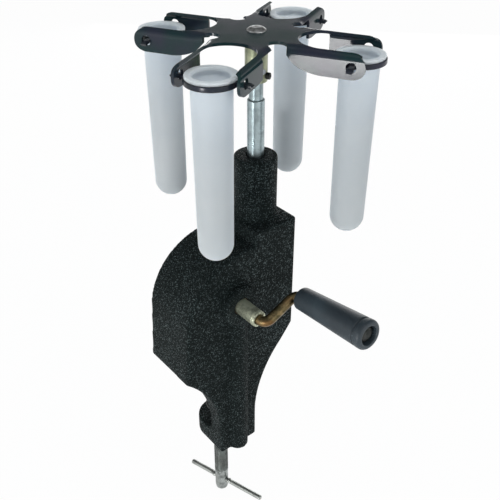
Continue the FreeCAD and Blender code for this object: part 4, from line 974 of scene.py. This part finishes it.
def make_bar():
    """The bar through the screw's lower end, pinched so that it can't slide out.

    Its radius swells with cos(a)^2 near 6.4 mm from the screw's axis and sinks with sin(a)^2
    near 8.1 mm, on both sides.
    """
    line = rounded([(0, -BAR_REAR), (BAR_END_R, -BAR_REAR, 0.3), (BAR_R, -BAR_REAR + 0.7, 0.3),
                    (BAR_R, 0), (BAR_R, BAR_FRONT - 0.7, 0.3), (BAR_END_R, BAR_FRONT, 0.3),
                    (0, BAR_FRONT)])

    def staked(angle, r, z):
        near = np.exp(-((np.abs(z) - 6.4) / 0.9) ** 2)
        dent = np.exp(-((np.abs(z) - 8.1) / 0.8) ** 2)
        return r * (1 + 0.30 * near * np.cos(angle) ** 2 - 0.22 * dent * np.sin(angle) ** 2), z

    turn = math.radians(BAR_TURN)
    bar = laid(skin(turned(dense(line, 0.4), staked, 40)), (0, 0, BAR_Z),
               (math.sin(turn), -math.cos(turn), 0))
    put_down("staked_bar", [bar], BAR_STEEL, "screw", ["tommy_bar"], 40.0)


def make_pad():
    """The round pad, with two grip grooves turned in its face and a socket below."""
    low, top = corner("pressure_pad", 0)[2], corner("pressure_pad", 1)[2]
    outer = corner("pressure_pad", 1)[0]
    floor = top - PAD_GROOVE
    line = rounded([
        (0, top - 1.45), (3.25, top - 1.45), (3.25, low), (6.2, low, 0.4), (7.0, low + 0.9, 0.6),
        (outer - 0.3, top - 2.5, 0.5), (outer, top - 2.1, 0.3), (outer, top, 0.6),
        (7.4, top, 0.15), (7.1, floor, 0.1), (6.5, floor, 0.1), (6.2, top, 0.15),
        (4.4, top, 0.15), (4.1, floor, 0.1), (3.5, floor, 0.1), (3.2, top, 0.15), (0, top),
    ])
    put_down("turned_pad", [skin(turned(line))], OXIDE, "clamp_pad", ["pressure_pad"])


def dress_inner_nodes():
    """Nodes whose solids are shown as they are get their finish and nothing else."""
    finishes = {
        "cover_gasket": GASKET, "neck_bush": BRONZE, "toe_bush": BRONZE,
        "thrust_ball": BEARING, "front_crank_bush": BRONZE, "rear_crank_bush": BRONZE,
        "drive_wheel": WHEEL_BRONZE, "wheel_pin": BEARING, "front_thrust_washer": BEARING,
        "rear_thrust_washer": BEARING, "worm": SPINDLE_STEEL, "worm_pin": BEARING,
        "hub_pin": BEARING,
    }
    for node, finish in finishes.items():
        mesh = frame["nodes"][node].data
        mesh.materials.clear()
        mesh.materials.append(finish)


# Studio: places in metres and powers in watts. The ceiling that gloss sees darkens between two
# heights, given as the Z of the way it is seen in

ROOM_TINT, ROOM_LIGHT = shade(0.93, 0.97, 1.0), 0.62
CEILING_FROM, CEILING_TO, CEILING_GLOW = 0.10, 0.26, 0.2
FLOOR_TINT, FLOOR_HALF, FLOOR_DROP, FLOOR_GLOW = shade(0.88, 0.89, 0.90), 6.0, 0.0002, 0.96
MIDDLE = (0.01, -0.01, 0.06)
LAMPS = (
    ("left_softbox", (-1.05, 0.30, 0.30), MIDDLE, (0.9, 1.1), 1.8),
    ("low_left_lamp", (-0.87, -0.29, -0.08), (0.03, -0.05, 0.19), (0.22, 0.22), 4.2),
    ("right_fill", (0.85, 0.85, 0.0), MIDDLE, (0.9, 0.9), 5.0),
    ("front_fill", (0.15, -1.25, 0.45), MIDDLE, (1.0, 0.8), 4.5),
    ("top_softbox", (-0.35, -0.45, 1.25), MIDDLE, (1.0, 1.0), 2.0),
)


def area_light(name, at, aim, size, power):
    light = bpy.data.lights.new(name, "AREA")
    light.shape = "RECTANGLE"
    light.size, light.size_y = size
    light.energy = power
    lamp = bpy.data.objects.new(name, light)
    bpy.context.scene.collection.objects.link(lamp)
    lamp.visible_camera = False
    lamp.location = at
    lamp.rotation_euler = (Vector(aim) - Vector(at)).to_track_quat("-Z", "Y").to_euler()


def shown_white(nodes, plain, white, share):
    """Mixes a white glow over a plain shader where the camera, a gloss or glass sees it."""
    camera, gloss, glass = (nodes.node("LightPath", result=f"Is {ray} Ray")
                            for ray in ("Camera", "Glossy", "Transmission"))
    bounced = nodes.node("Math", {"operation": "MAXIMUM"}, {0: gloss, 1: glass})
    seen = nodes.node("Math", {"operation": "MAXIMUM"}, {0: camera, 1: bounced})
    return nodes.node("MixShader", {}, {0: seen * share, 1: plain, 2: white})


def set_world():
    """A plain pale room that shows as white, darker above for what gloss sees."""
    world = bpy.data.worlds.new("studio")
    bpy.context.scene.world = world
    sky = Nodes(world, "OutputWorld")
    way = sky.node("TexCoord", result="Generated")
    height = sky.node("SeparateXYZ", {}, {0: way}, "Z")
    ceiling = sky.node("MapRange", {"interpolation_type": "SMOOTHSTEP"},
                       {"Value": height, "From Min": CEILING_FROM, "From Max": CEILING_TO,
                        "To Min": 1.0, "To Max": CEILING_GLOW})
    dim = sky.node("Background", {}, {"Color": ROOM_TINT, "Strength": ROOM_LIGHT})
    bright = sky.node("Background", {}, {"Color": shade(1.0, 1.0, 1.0), "Strength": ceiling})
    sky.show(shown_white(sky, dim, bright, 1.0))


def set_floor():
    """A pale floor under the object that keeps its shadow and otherwise shows as white."""
    z = box_before[0][2] - FLOOR_DROP
    half = FLOOR_HALF
    mesh = bpy.data.meshes.new("floor")
    mesh.from_pydata([(-half, -half, z), (half, -half, z), (half, half, z), (-half, half, z)],
                     [], [(0, 1, 2, 3)])
    floor = bpy.data.objects.new("floor", mesh)
    bpy.context.scene.collection.objects.link(floor)
    pale = Finish("pale_floor", Roughness=0.8, Base_Color=FLOOR_TINT)
    pale.show(shown_white(pale, pale.surface, pale.node("Emission"), FLOOR_GLOW))
    mesh.materials.append(pale.material)


set_camera()
make_casting()
make_rotor()
make_cover_screws()
make_spindle()
make_hub()
make_set_screw()
make_buckets()
make_shaft()
make_arm()
make_grip()
make_clamp_screw()
make_bar()
make_pad()
dress_inner_nodes()
bpy.context.scene.view_settings.view_transform = "Standard"
set_world()
set_floor()
for lamp_row in LAMPS:
    area_light(*lamp_row)
